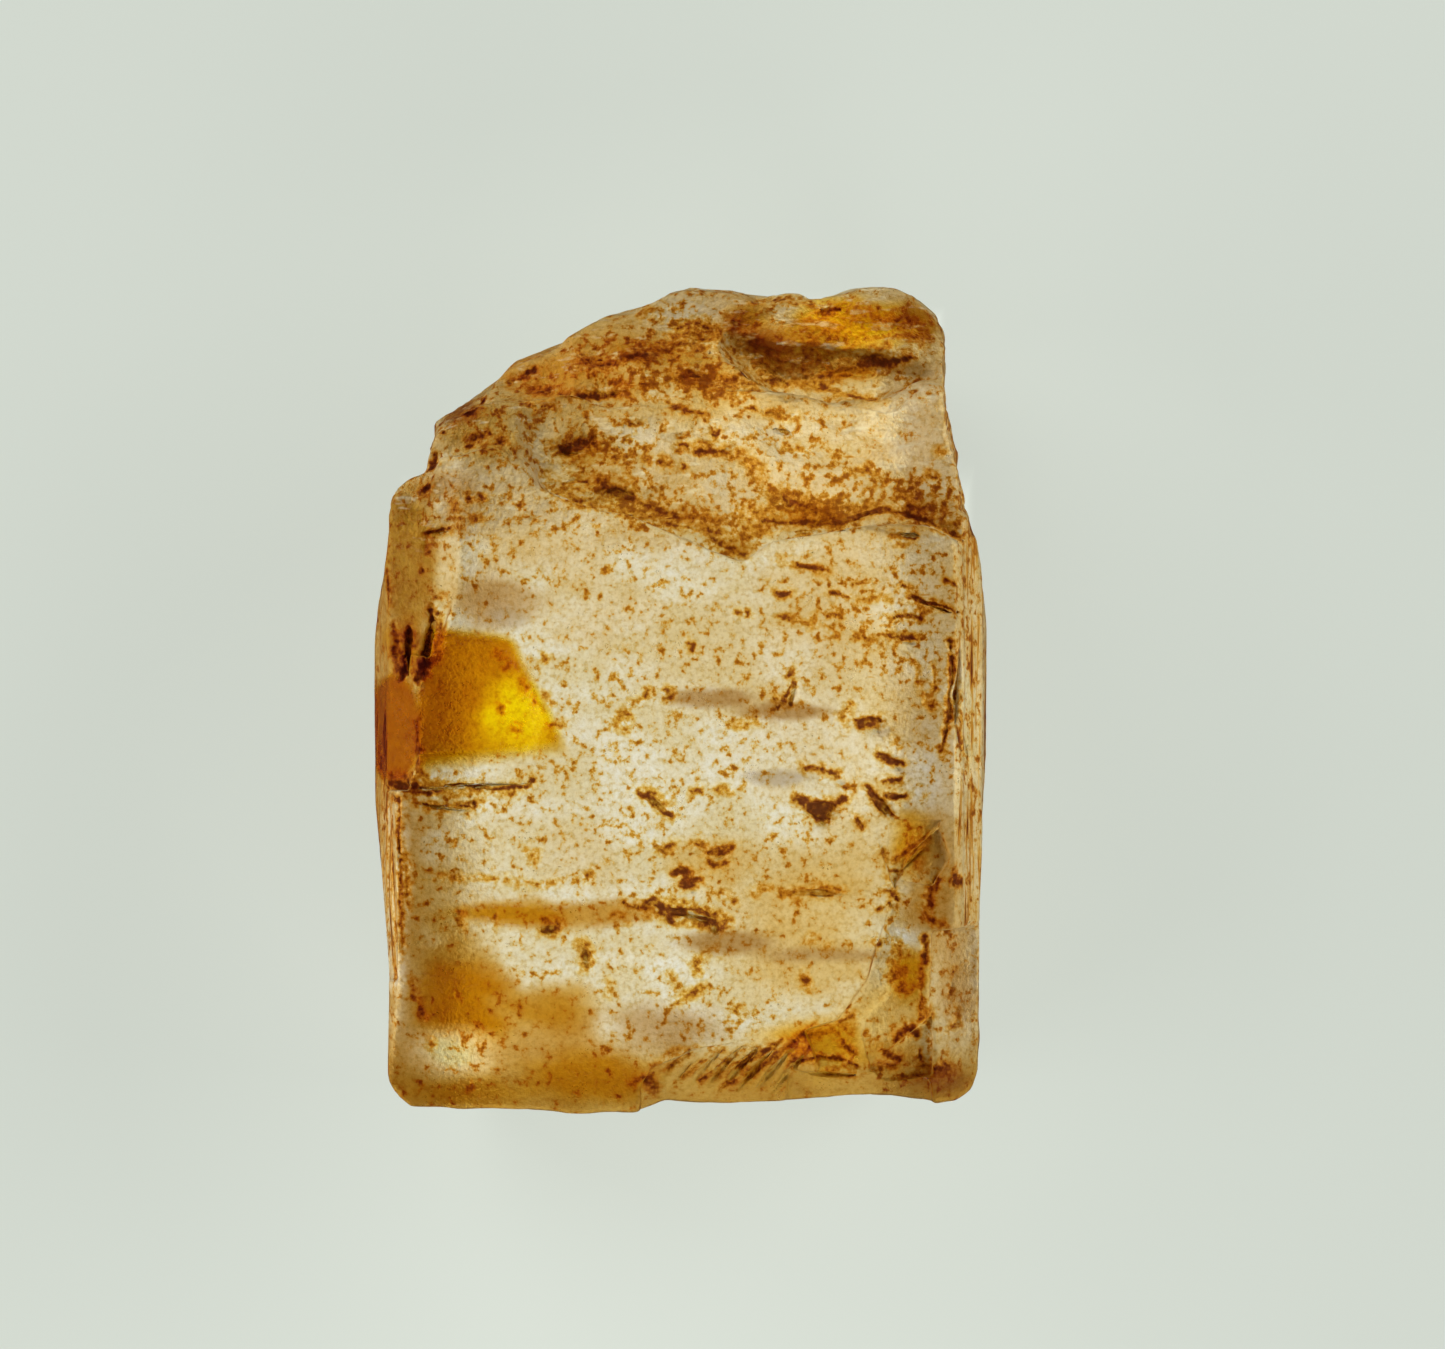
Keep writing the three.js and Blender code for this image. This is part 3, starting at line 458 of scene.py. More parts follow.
mark("slit low right", 0.8, 0.08, (884, 886, 1.2), (889, 890, 2.5), (893, 895, 1.5))
mark("slit low right two", 0.75, 0.06, (871, 907, 1), (877, 906, 1.5), (882, 904, 1))
mark("slit low right three", 0.7, 0.05, (886, 900, 1), (889, 903, 1))
print(len(marks), "marks so far")

# %% Marks: the right edge
mark("crevice", 0.78, 0.16, (947, 640, 1.5), (949, 660, 2.2), (950, 680, 3.5), (948, 700, 4.5),
    (946, 717, 4), (943, 730, 2))
mark("crevice tail", 0.65, 0.1, (943, 730, 1.5), (940, 745, 1.2))
mark("crevice mate", 0.7, 0.08, (953, 724, 1.2), (956, 735, 1.5), (959, 748, 1.2), (962, 756, 0.8))
mark("loop left", 0.55, 0.04, (914, 664, 1.2), (915, 680, 1.5), (918, 693, 1.8))
mark("loop right", 0.62, 0.05, (931, 668, 1.2), (932, 682, 2.2), (931, 694, 1.8))
mark("loop low", 0.6, 0.04, (922, 694, 2.2), (925, 703, 1.8), (929, 709, 1.5), (934, 704, 1.2))
mark("outer slit", 0.55, 0.04, (958, 690, 1.2), (959, 705, 1.5), (958, 720, 1))
mark("plane slit", 0.6, 0.05, (936, 746, 1.2), (939, 752, 1.8))
mark("V left edge", 0.4, 0.04, (880, 847, 0.8), (886, 866, 1), (892, 884, 0.8))
mark("V right edge", 0.7, 0.06, (892, 858, 2), (902, 850, 2.8), (914, 840, 2.2), (924, 832, 1.2))
mark("V foot", 0.8, 0.08, (890, 869, 2), (895, 868, 2.5), (901, 868, 1.5))
mark("V wedge", 0.42, 0, (905, 855, 7), (912, 848, 10), (918, 838, 8))
mark("V wedge low", 0.36, 0, (908, 866, 4), (914, 862, 4))
mark("rust column", 0.62, 0.05, (935, 877, 3), (930, 885, 5), (927, 893, 5), (928, 901, 3))
mark("rust column low", 0.5, 0.04, (922, 905, 2.5), (932, 920, 3), (940, 922, 3))
mark("square pit", 0.9, 0.1, (952, 873, 3.5), (955, 877, 4), (950, 880, 2))
mark("vertical edge", 0.75, 0.08, (921, 934, 2), (923, 945, 3), (922, 958, 2))
mark("vertical edge low", 0.7, 0.06, (919, 960, 1), (919, 985, 1.2), (918, 1005, 1))
mark("edge orange", 0.38, 0, (894, 945, 5), (893, 958, 7), (897, 975, 9), (901, 985, 7))
mark("edge rust foot", 0.5, 0.02, (921, 1000, 4), (924, 1010, 4), (916, 1016, 3))
mark("right slit low", 0.6, 0.06, (951, 966, 1.2), (949, 980, 2), (948, 991, 1.5))
mark("right slit low two", 0.55, 0.05, (954, 1005, 1), (955, 1018, 1.5), (945, 1030, 1.5))
print(len(marks), "marks so far")

# %% Marks: the broken corner, lower right
mark("orange break", 0.42, 0, (800, 1035, 8), (815, 1028, 9), (830, 1025, 6), (845, 1022, 5))
mark("orange break left", 0.45, 0, (790, 1062, 4), (798, 1048, 6), (808, 1036, 6))
mark("orange break low", 0.4, 0, (828, 1068, 4), (843, 1064, 5), (852, 1068, 3))
mark("break crack", 0.85, 0.1, (790, 1060, 1.5), (800, 1056, 2), (815, 1053, 1.5), (832, 1053, 2),
    (845, 1056, 1.5), (854, 1062, 2))
mark("break crack up", 0.7, 0.06, (836, 1036, 1.5), (845, 1042, 2), (852, 1048, 1.2))
mark("corner triangle", 0.72, 0.05, (902, 1028, 3), (910, 1024, 4), (913, 1030, 3))
mark("corner triangle left", 0.6, 0.04, (893, 1037, 2), (898, 1028, 2.5), (903, 1022, 1.5))
mark("lower corner dark", 0.75, 0.06, (880, 1046, 2.5), (888, 1052, 3), (897, 1055, 2))
mark("corner knot", 0.85, 0.06, (915, 1016, 1.5), (919, 1012, 2))
mark("ridge foot", 0.5, 0.04, (868, 1062, 3), (880, 1062, 4), (893, 1060, 3))
mark("corner rim", 0.75, 0.06, (917, 1047, 1.2), (919, 1056, 1.8))
mark("corner brown", 0.6, 0.03, (922, 1063, 3), (932, 1066, 5), (944, 1062, 4))
mark("corner brown halo", 0.42, 0, (916, 1070, 5), (935, 1068, 9), (950, 1066, 5))
mark("patch rim", 0.65, 0.04, (840, 1017, 2), (846, 1014, 3), (853, 1011, 2))
mark("notch low", 0.6, 0.05, (633, 1080, 2), (640, 1074, 3), (650, 1076, 5), (653, 1083, 5))
mark("left bottom bit", 0.5, 0.03, (470, 1084, 2), (474, 1079, 2))
print(len(marks), "marks so far")

# %% Marks: the left edge and the yellow window
mark("wedge one", 0.97, 0.16, (413, 630, 2), (412, 645, 3), (411, 660, 4), (409, 672, 4.5), (404, 680, 3))
mark("wedge one halo", 0.6, 0.05, (396, 626, 3), (401, 636, 4), (400, 650, 5), (404, 668, 6))
mark("wedge two", 0.97, 0.16, (434, 610, 2), (437, 625, 2.5), (432, 645, 3.5), (429, 660, 5),
    (428, 672, 6), (420, 680, 4))
mark("wedge two top", 0.62, 0.06, (436, 602, 1.5), (437, 612, 3), (446, 614, 2))
mark("wedge two streak", 0.5, 0.03, (437, 600, 3), (446, 598, 2.5))
mark("wedge halo", 0.5, 0, (441, 622, 4), (441, 642, 5), (437, 660, 6))
mark("peach bar slit", 0.6, 0.05, (417, 646, 0.8), (421, 646, 1))
mark("window foot", 0.9, 0.12, (394, 782, 2.5), (408, 785, 5), (420, 788, 6), (434, 790, 4))
mark("window foot halo", 0.5, 0, (396, 776, 5), (415, 780, 10), (440, 785, 8))
mark("window edge", 0.6, 0.05, (421, 720, 1.5), (421, 738, 2.2), (422, 755, 2), (420, 772, 3))
mark("thin crack", 0.8, 0.1, (440, 788, 1.8), (452, 784, 1.6), (466, 783, 1.4), (480, 785, 1.4),
    (500, 787, 1.8), (518, 785, 1.5), (534, 785, 1.2))
mark("thin crack end", 0.75, 0.08, (532, 783, 3), (535, 777, 2))
mark("thin crack halo", 0.36, 0, (450, 790, 4), (480, 789, 4), (515, 788, 4))
mark("low crack", 0.7, 0.08, (416, 800, 1.5), (430, 802, 1.8), (441, 806, 1.4), (455, 803, 1.2),
    (475, 805, 1))
mark("low crack knot", 0.8, 0.08, (478, 800, 2.2), (479, 804, 2.5))
mark("low crack dot", 0.7, 0.04, (470, 812, 2), (471, 813, 2))
mark("low crack halo", 0.36, 0, (420, 802, 4), (445, 806, 4), (485, 802, 4))
mark("left edge dark", 0.85, 0.05, (382, 745, 1.5), (382, 765, 2), (386, 780, 2), (393, 793, 2),
    (402, 800, 2.2))
mark("down line", 0.85, 0.1, (403, 796, 2), (403, 812, 2.5), (402, 830, 2), (404, 850, 1.5))
mark("down line two", 0.7, 0.08, (404, 858, 1.5), (405, 880, 2.2), (404, 900, 1.8), (405, 925, 1.5),
    (406, 945, 1))
mark("down line three", 0.6, 0.06, (396, 850, 1.5), (396, 875, 2.5), (398, 905, 2.2), (400, 935, 1.5))
mark("down line four", 0.5, 0.05, (411, 855, 1), (411, 880, 1.6), (412, 905, 1.4))
mark("left edge streak", 0.6, 0.04, (390, 568, 1.5), (391, 590, 2), (390, 610, 1.5))
mark("left flank bit", 0.7, 0.04, (426, 570, 1.5), (427, 572, 1.5))
mark("window pit", 0.55, 0.04, (505, 707, 2.2), (506, 713, 3.2))
mark("window top rust", 0.4, 0, (500, 655, 3), (508, 660, 4), (512, 665, 3))
mark("window side rust", 0.42, 0.02, (526, 682, 2.5), (528, 690, 2))
mark("window dots", 0.42, 0.02, (518, 729, 2), (521, 733, 2))
mark("window dot right", 0.5, 0.02, (552, 724, 3), (562, 723, 2))
mark("window dot low", 0.6, 0.02, (536, 700, 1.5), (537, 704, 1.5))
mark("pair by window", 0.5, 0.02, (548, 695, 2), (553, 704, 2.5))
mark("speck by window", 0.6, 0.02, (546, 657, 2), (547, 661, 2))
mark("left long crack", 0.42, 0.05, (412, 873, 0.8), (450, 874, 0.8), (500, 876, 0.9), (540, 881, 1.2),
    (560, 878, 1))
mark("left low column", 0.5, 0.04, (416, 976, 1.5), (418, 990, 2), (424, 1003, 1.8), (428, 1015, 1.8))
mark("left low column two", 0.5, 0.03, (434, 1037, 2), (435, 1042, 2))
print(len(marks), "marks so far")

# %% Marks: bars torn out along the foot
mark("hackle 1", 0.5, 0.05, (668, 1063, 1.2), (684, 1052, 2.6), (697, 1043, 1.4))
mark("hackle 2", 0.45, 0.05, (682, 1072, 1), (702, 1058, 2.2), (722, 1046, 1))
mark("hackle 3", 0.5, 0.05, (700, 1076, 1), (724, 1059, 2.6), (748, 1043, 1.2))
mark("hackle 4", 0.72, 0.05, (738, 1062, 1.8), (760, 1048, 3), (782, 1034, 1.5))
mark("hackle 5", 0.66, 0.05, (744, 1076, 1.4), (770, 1055, 2.8), (800, 1030, 1.4))
mark("hackle 6", 0.42, 0.05, (716, 1072, 1), (736, 1058, 2), (756, 1046, 1))
mark("hackle 7", 0.36, 0.05, (656, 1060, 1), (668, 1052, 1.8), (680, 1044, 1))
mark("hackle 8", 0.35, 0.05, (720, 1084, 1.2), (745, 1070, 2), (765, 1060, 1))
deepest = max(marks, key=lambda one: one[2])
print(len(marks), "marks in all, the deepest is", deepest[0])

# %% [markdown]
# ## The skin of the stone
# The solid has about nine thousand flat faces: enough for the form, not for the skin. The skin is
# a finer copy of it. A voxel remesh would be the quick way, but it melts the small pits and sharp
# edges. Instead every edge that is too long is cut in half, again and again, in both faces that
# share it, so the mesh stays closed and the form stays exactly as it was. The face and the etched
# end, which are looked at closely, get shorter edges than the flanks and the back, and the places
# under a mark get the shortest, because a crack is only a tenth of a millimetre wide.
#
# The solid also carries one splinter, thin as paper, at its broken corner. A real one would have
# worn off long ago, so its tip is brought down to its foot first.

# %% Weld a copy of the solid
WELD_DISTANCE = 0.002 * MM
solid = bpy.data.objects["topaz_crystal"]
weld = bmesh.new()
weld.from_mesh(solid.data)
bmesh.ops.remove_doubles(weld, verts=weld.verts, dist=WELD_DISTANCE)
points = np.array([corner.co[:] for corner in weld.verts]) / MM
faces = np.array([[corner.index for corner in face.verts] for face in weld.faces])
weld.free()

SPLINTER_AT = (8.07, -12.54)
SPLINTER_REACH = 0.30
SPLINTER_FOOT = 10.66
on_splinter = np.hypot(points[:, 0] - SPLINTER_AT[0], points[:, 1] - SPLINTER_AT[1]) < SPLINTER_REACH
points[on_splinter, 2] = np.minimum(points[on_splinter, 2], SPLINTER_FOOT)
print("splinter worn down at", int(on_splinter.sum()), "corners")
print("welded:", len(points), "corners,", len(faces), "faces")

# %% Chart the marks
MARK_EDGE = 0.15
FACE_EDGE = 0.27
FLANK_EDGE = 0.50
BACK_EDGE = 0.80
MARK_REACH = 0.08
MARKS_ABOVE = 4.0
FACE_FROM, FACE_FULL = 6.8, 9.0
END_FROM, END_FULL, END_SHARE = 7.5, 10.5, 0.6
BACK_END, FLANK_FULL = 0.1, 1.0

CHART_CORNER = np.array([-12.0, -15.0])
CHART_CELL = 0.05
CHART_SIZE = (480, 600)
chart_cells = np.stack(np.meshgrid(*map(np.arange, CHART_SIZE), indexing="ij"), axis=-1)
chart_points = chart_cells.reshape(-1, 2) * CHART_CELL + CHART_CORNER
chart = np.zeros(len(chart_points), dtype=bool)
for name, level, depth, stroke in marks:
    close = in_box(chart_points, stroke, MARK_REACH)
    inset, width = stroke_inset(chart_points[close], stroke)
    chart[close] |= inset > -MARK_REACH
chart = chart.reshape(CHART_SIZE)
print("marks cover %.0f square mm" % (chart.sum() * CHART_CELL ** 2))

# %% How long an edge may be
def smooth_step(value, low, high):
    """0 below `low`, 1 above `high`, and a smooth rise between them."""
    t = np.clip((value - low) / (high - low), 0, 1)
    return t * t * (3 - 2 * t)

def allowed_edge(p):
    """The longest edge that may stay whole, in mm, for edges with their middle at p."""
    on_face = smooth_step(p[:, 2], FACE_FROM, FACE_FULL)
    fine = np.maximum(on_face, END_SHARE * smooth_step(p[:, 1], END_FROM, END_FULL))
    coarse = BACK_EDGE + (FLANK_EDGE - BACK_EDGE) * smooth_step(p[:, 2], BACK_END, FLANK_FULL)
    allowed = coarse * (1 - fine) + FACE_EDGE * fine
    allowed[near_a_mark(p)] = MARK_EDGE
    return allowed

def near_a_mark(p):
    """Whether a point lies under a mark, read off the chart."""
    cell = ((p[:, :2] - CHART_CORNER) / CHART_CELL).astype(int)
    cell = np.clip(cell, 0, np.array(chart.shape) - 1)
    return chart[cell[:, 0], cell[:, 1]] & (p[:, 2] > MARKS_ABOVE)

print("edges may be %.2f to %.2f mm long" % (MARK_EDGE, BACK_EDGE))

# %% Cut long edges until the skin is fine
def cut_long_edges(points, faces):
    """One round of cuts. A face gets a new corner on each long edge, and is split into 2, 3 or 4."""
    sides = np.sort(faces[:, [[0, 1], [1, 2], [2, 0]]].reshape(-1, 2), axis=1)
    edges, side_of = np.unique(sides, axis=0, return_inverse=True)
    side_of = side_of.reshape(-1, 3)
    start, end = points[edges[:, 0]], points[edges[:, 1]]
    middle = (start + end) / 2
    too_long = np.linalg.norm(start - end, axis=1) > allowed_edge(middle)
    new_corner = np.cumsum(too_long) - 1 + len(points)
    cut = too_long[side_of]
    cuts = cut.sum(axis=1)
    made = [faces[cuts == 0]]
    for wanted in (1, 2, 3):
        picked = np.nonzero(cuts == wanted)[0]
        row = np.arange(len(picked))
        turn = np.argmax(cut[picked], axis=1)
        if wanted == 2:
            turn = (np.argmin(cut[picked], axis=1) + 1) % 3
        a, b, c = (faces[picked][row, (turn + k) % 3] for k in range(3))
        ab, bc, ca = (new_corner[side_of[picked][row, (turn + k) % 3]] for k in range(3))
        if wanted == 1:
            parts = [(a, ab, c), (ab, b, c)]
        elif wanted == 2:
            parts = [(ab, b, bc), (a, ab, bc), (a, bc, c)]
        else:
            parts = [(a, ab, ca), (ab, b, bc), (ca, bc, c), (ab, bc, ca)]
        made += [np.stack(part, axis=1) for part in parts]
    return np.concatenate([points, middle[too_long]]), np.concatenate(made), int(too_long.sum())

MOST_ROUNDS = 12
rounds = 0
newly_cut = 1
while newly_cut and rounds < MOST_ROUNDS:
    points, faces, newly_cut = cut_long_edges(points, faces)
    rounds += 1
print("skin:", len(points), "corners,", len(faces), "faces after", rounds, "rounds")

# %% [markdown]
# ## Softening
# River travel and acid soils round a crystal's edges by about a tenth of a millimetre. Each corner
# of the mesh is eased towards the middle of its neighbours a few times. Two places have crumbled
# and are eased more: the end of the step at the upper left, and the window with its rim.
# The corners that touch the pad are held still, so the stone goes on resting on the same flat.

# %% Ease the edges
edges = np.unique(np.sort(faces[:, [[0, 1], [1, 2], [2, 0]]].reshape(-1, 2), axis=1), axis=0)
neighbours = np.bincount(edges.ravel(), minlength=len(points)).astype(float)

def mean_of_neighbours(values):
    out = np.empty_like(values)
    for k in range(values.shape[1]):
        total = np.bincount(edges[:, 0], values[edges[:, 1], k], len(points))
        total += np.bincount(edges[:, 1], values[edges[:, 0], k], len(points))
        out[:, k] = total / neighbours
    return out

def eased(values, times, share=0.5):
    for _ in range(times):
        values = values + share * (mean_of_neighbours(values) - values)
    return values

def normals_of(points):
    a, b, c = (points[faces[:, k]] for k in range(3))
    facing = np.cross(b - a, c - a)
    out = np.zeros_like(points)
    for k in range(3):
        for axis in range(3):
            out[:, axis] += np.bincount(faces[:, k], facing[:, axis], len(points))
    return out / np.maximum(np.linalg.norm(out, axis=1, keepdims=True), 1e-12)

RESTING = 0.001
resting = points[:, 2] < RESTING
held = points[resting].copy()
points = eased(points, times=3)
x, y, z = points.T
step_end = 1 - smooth_step(np.hypot((x + 5.3) / 1.6, (y - 8.2) / 2.9), 0.6, 1.0)
window_rim = 1 - smooth_step(np.hypot((x + 6.3) / 3.0, (y - 0.1) / 2.9), 0.8, 1.0)
WORN_ABOVE = 7.0
worn = np.maximum(step_end, window_rim) * (z > WORN_ABOVE)
points = points + worn[:, None] * (eased(points, times=14) - points)
points[resting] = held
print("eased", len(points), "corners;", int(resting.sum()), "rest on the pad")

# %% [markdown]
# ## Relief
# Nature works on each side of the crystal in its own way, and the relief follows that:
# the flanks of a topaz prism are ribbed along its length, the end is eaten into small steps and
# hummocks, and the face is nearly flat with a faint swell. All of them come from one kind of smooth
# random field, stretched to suit. It is worked out here and not with a Displace modifier, because
# the stain further down needs to know where the hollows are.

# %% A smooth random field
def random_at(cells, seed):
    """A number from 0 to 1 for each cell, made by stirring its three whole numbers. It never changes."""
    n = cells[..., 0] * 374761393 + cells[..., 1] * 668265263 + cells[..., 2] * 1440662683
    n = (n + seed * 1274126177) & 0xFFFFFFFF
    n = ((n ^ (n >> 13)) * 1274126177) & 0xFFFFFFFF
    return ((n ^ (n >> 16)) & 0xFFFF) / 65535.0

def field(p, size, seed, layers=1):
    """A random field from -1 to 1 whose hills are about `size` mm across."""
    total = np.zeros(len(p))
    weight = 1.0
    for layer in range(layers):
        q = p / (np.array(size, dtype=float) * 0.5 ** layer)
        cell = np.floor(q).astype(np.int64)
        t = q - cell
        t = t * t * t * (t * (6 * t - 15) + 10)
        for corner in np.ndindex(2, 2, 2):
            share = np.prod(np.where(corner, t, 1 - t), axis=1)
            total += weight * share * (2 * random_at(cell + np.array(corner), seed + layer) - 1)
        weight *= 0.5
    return total

print("field at the middle of the stone:", field(np.zeros((1, 3)) + 0.5, 1.0, seed=1).round(2))

# %% Tell the sides apart
normal = normals_of(eased(points, times=6))
x, y, z = points.T
facing_up = smooth_step(normal[:, 2], 0.55, 0.85)
flank = 1 - smooth_step(np.abs(normal[:, 2]), 0.45, 0.8)
flank *= 1 - smooth_step(np.abs(normal[:, 1]), 0.45, 0.7)
back = smooth_step(-normal[:, 2], 0.45, 0.75)
LEDGE_LINE = 5.0
etched = smooth_step(y + 0.5 * field(points, 2.5, 11), LEDGE_LINE - 0.5, LEDGE_LINE + 1.2)
broken = smooth_step(-y, 9.5, 12.5) * smooth_step(x, -2.5, 0.5)
foot = smooth_step(-normal[:, 1], 0.5, 0.8)
lifted = smooth_step(z, 0.05, 0.8)
print("corners facing up:", int((facing_up > 0.5).sum()), " etched:", int((etched > 0.5).sum()))

# %% Push the skin in and out
hummocks = 0.10 * field(points, (1.6, 1.0, 1.3), 21, 3)
steps = 0.07 * np.abs(field(points, (1.9, 0.65, 1.2), 31, 2)) - 0.03
fine_pits = -0.05 * smooth_step(field(points, (0.55, 0.34, 0.4), 41, 2), 0.25, 0.9)
ribs = 0.07 * field(points * (1, 0.05, 1), 0.55, 51, 2) + 0.02 * field(points * (1, 0.12, 1), 0.3, 52)
swell = 0.03 * field(points, (3.0, 1.6, 3.0), 61, 2)
growth_lines = 0.012 * field(points, (6.0, 0.35, 3.0), 71)
shell = 0.06 * field(points, (1.2, 0.8, 1.0), 81, 2)
weathered = 0.07 * field(points, (1.5, 2.2, 1.2), 91, 3)

relief = etched * (hummocks + steps + fine_pits)
relief += (1 - etched) * facing_up * (swell + growth_lines)
relief += (1 - etched) * flank * ribs
relief += np.maximum(broken, foot) * shell
relief += back * weathered
points = points + normal * (relief * lifted)[:, None]
print("relief: %.2f to %.2f mm" % (relief.min(), relief.max()))

# %% [markdown]
# ## Drawing the marks
# Now that the skin is fine enough, every corner is told how strongly it is stained, and the cracks
# and pits are pressed in along the normals. Iron creeps out of a crack into the skin beside it, so
# each stroke has a dark core and a pale halo.
#
# The strokes are laid on from above. On a steep flank they would run down as straight bars, which
# no stone has. So they fade out below the upper half, and on steep skin a random field breaks them up.

# %% Draw the marks on the skin
ragged = 0.04 * field(points, 0.3, 101, 2)
UPPER_FROM, UPPER_FULL = 4.0, 5.8
upper = smooth_step(z + 0.8 * field(points, (1.4, 1.4, 0.9), 102, 2), UPPER_FROM, UPPER_FULL)
seen_from_above = smooth_step(normal[:, 2], 0.08, 0.35) * upper
HALO_LEVEL = 0.26
HALO_REACH = 0.20
STROKE_MARGIN = 0.30
mark_level = np.zeros(len(points))
cut_in = np.zeros(len(points))
for name, level, depth, stroke in marks:
    close = in_box(points[:, :2], stroke, STROKE_MARGIN)
    inset, width = stroke_inset(points[close, :2], stroke)
    inside = (inset + ragged[close]) / width
    core = level * smooth_step(inside, -0.6, 0.4)
    halo = min(level, HALO_LEVEL) * smooth_step(inset + 2 * ragged[close], -HALO_REACH, 0.0)
    mark_level[close] = np.maximum(mark_level[close], np.maximum(core, halo))
    cut_in[close] = np.maximum(cut_in[close], depth * smooth_step(inside, 0.0, 0.9))
steep = 1 - smooth_step(normal[:, 2], 0.35, 0.65)
broken_up = smooth_step(field(points, (1.0, 1.0, 0.8), 103, 2), -0.3, 0.4)
mark_level *= seen_from_above * (1 - steep * broken_up)
points = points - normal * (cut_in * seen_from_above)[:, None]
print(len(marks), "marks touch", int((mark_level > 0.2).sum()), "corners")

# %% [markdown]
# ## Hollows
# Rust also gathers in every hollow that the relief has made. A hollow is a place that lies lower
# than the softened skin around it, so the difference between the two is the answer.

# %% Find the hollows
HOLLOW_DEPTH = 0.06
normal = normals_of(points)
softened = eased(points, times=14)
hollow = np.clip(((softened - points) * normal).sum(axis=1) / HOLLOW_DEPTH, -1, 1)
print("hollows:", int((hollow > 0.3).sum()), "corners")

# %% [markdown]
# ## Colour of the skin
# Topaz of this kind is honey coloured where the light takes a long way through it, and nearly
# cream where the way is short. Frosted skin hides the depth, so the colour is painted on as broad
# soft washes over a cream ground, with the volume adding the rest. Each wash is an ellipse with a
# ragged, soft edge, laid on the upper half only. The flanks below it and the back get a few colours
# by their side and by a random field. The colours are those the eye sees with the pad alight. The
# skin itself is paler by the share of light that the stone lets through.

# %% Mix the colours
def seen(red, green, blue):
    """The light values, from 0 to 1, of a colour given as a screen shows it, from 0 to 255."""
    shown = np.array([red, green, blue]) / 255
    return np.where(shown < 0.04045, shown / 12.92, ((shown + 0.055) / 1.055) ** 2.4)

CREAM = seen(222, 206, 164)
WHITE = seen(230, 217, 182)
BACK_WHITE = seen(242, 234, 212)
PALE = seen(222, 200, 150)
SAND = seen(214, 182, 118)
GOLD = seen(212, 172, 92)
BUFF = seen(196, 156, 92)
HONEY = seen(194, 144, 60)
SHADE = seen(172, 132, 74)
GREY = seen(172, 150, 116)
TAN = seen(184, 134, 44)
OCHRE = seen(184, 122, 20)
ORANGE = seen(198, 132, 8)
RUST = seen(152, 86, 16)
BROWN = seen(122, 62, 20)
AMBER = seen(188, 116, 0)
YELLOW = seen(236, 190, 0)
SIDE_ORANGE = seen(166, 92, 0)
print("cream as light:", CREAM.round(2), " amber as light:", AMBER.round(2))

# %% Broad washes
colour = np.tile(CREAM, (len(points), 1))
ragged_edge = 0.22 * field(points, (1.6, 1.0, 1.6), 111, 3)
STAIN_ROOT = 0.3

def lay(paint, amount):
    """Stain the skin. Mixing roots, not light, keeps a thin orange stain golden instead of pink."""
    share = amount[:, None]
    colour[:] = ((1 - share) * colour ** STAIN_ROOT + share * paint ** STAIN_ROOT) ** (1 / STAIN_ROOT)

laid = []

def wash(name, paint, strength, centre, reach, softness=0.8):
    away = np.hypot((x - centre[0]) / reach[0], (y - centre[1]) / reach[1]) + ragged_edge
    lay(paint, strength * upper * (1 - smooth_step(away, 1 - softness, 1.0)))
    laid.append(name)

print("cream on", len(colour), "corners")

# %% Washes over the whole stone
lay(BUFF, 0.90 * flank)
lay(BACK_WHITE, 0.90 * back)
lay(HONEY, 0.65 * smooth_step(-x, 8.0, 9.0) * (1 - back))
lay(seen(224, 194, 130), 0.95 * smooth_step(x, 7.9, 9.0) * (1 - back))
lay(TAN, 0.85 * smooth_step(-y, 10.8, 12.8) * (1 - back))
lay(SAND, 0.85 * etched * (1 - back))
lower = (1 - upper) * (1 - 0.7 * back)
lay(OCHRE, 0.60 * smooth_step(field(points, (2.6, 3.4, 2.2), 151, 3), 0.15, 0.8) * lower)
lay(PALE, 0.70 * smooth_step(field(points, (2.2, 3.0, 1.6), 152, 3), 0.10, 0.8) * lower)
print("ground laid on", len(points), "corners")

# %% Washes on the etched end
wash("slope, gold", GOLD, 0.8, (-1.0, 9.6), (5.0, 1.6))
wash("slope, upper left", seen(212, 150, 50), 1.0, (-3.8, 10.8), (4.0, 1.5))
wash("slope, left corner", TAN, 0.7, (-6.4, 9.0), (1.9, 1.8))
wash("slope, corner rust", RUST, 0.6, (-7.3, 9.5), (1.1, 0.7))
wash("rust band", OCHRE, 0.7, (-0.6, 11.3), (3.2, 0.8))
wash("rust before the pocket", OCHRE, 0.55, (0.9, 10.7), (1.6, 1.2))
wash("pale rim", PALE, 0.9, (0.2, 12.9), (1.9, 0.9))
wash("rim, left", GOLD, 0.7, (-2.6, 12.3), (1.4, 0.7))
wash("pocket rim", OCHRE, 0.9, (2.2, 12.6), (1.4, 0.9))
wash("lump", seen(238, 172, 16), 1.0, (5.6, 12.4), (2.4, 1.1), softness=0.6)
wash("lump, right end", OCHRE, 0.9, (7.8, 12.4), (1.0, 0.9))
wash("lump foot", TAN, 0.35, (7.6, 11.0), (1.2, 0.7))
wash("pocket", OCHRE, 0.9, (3.6, 11.6), (2.6, 1.3), softness=0.6)
wash("pocket, upper left", RUST, 0.9, (1.9, 12.3), (0.9, 0.8))
wash("pocket, slope", RUST, 0.55, (2.7, 11.5), (1.2, 0.8))
wash("pocket, foot", BROWN, 0.3, (3.9, 10.9), (1.6, 0.6))
wash("pocket, dark left", seen(126, 58, 10), 0.6, (2.7, 11.8), (1.3, 0.7))
wash("pocket, right", OCHRE, 0.8, (5.8, 10.8), (1.6, 0.45))
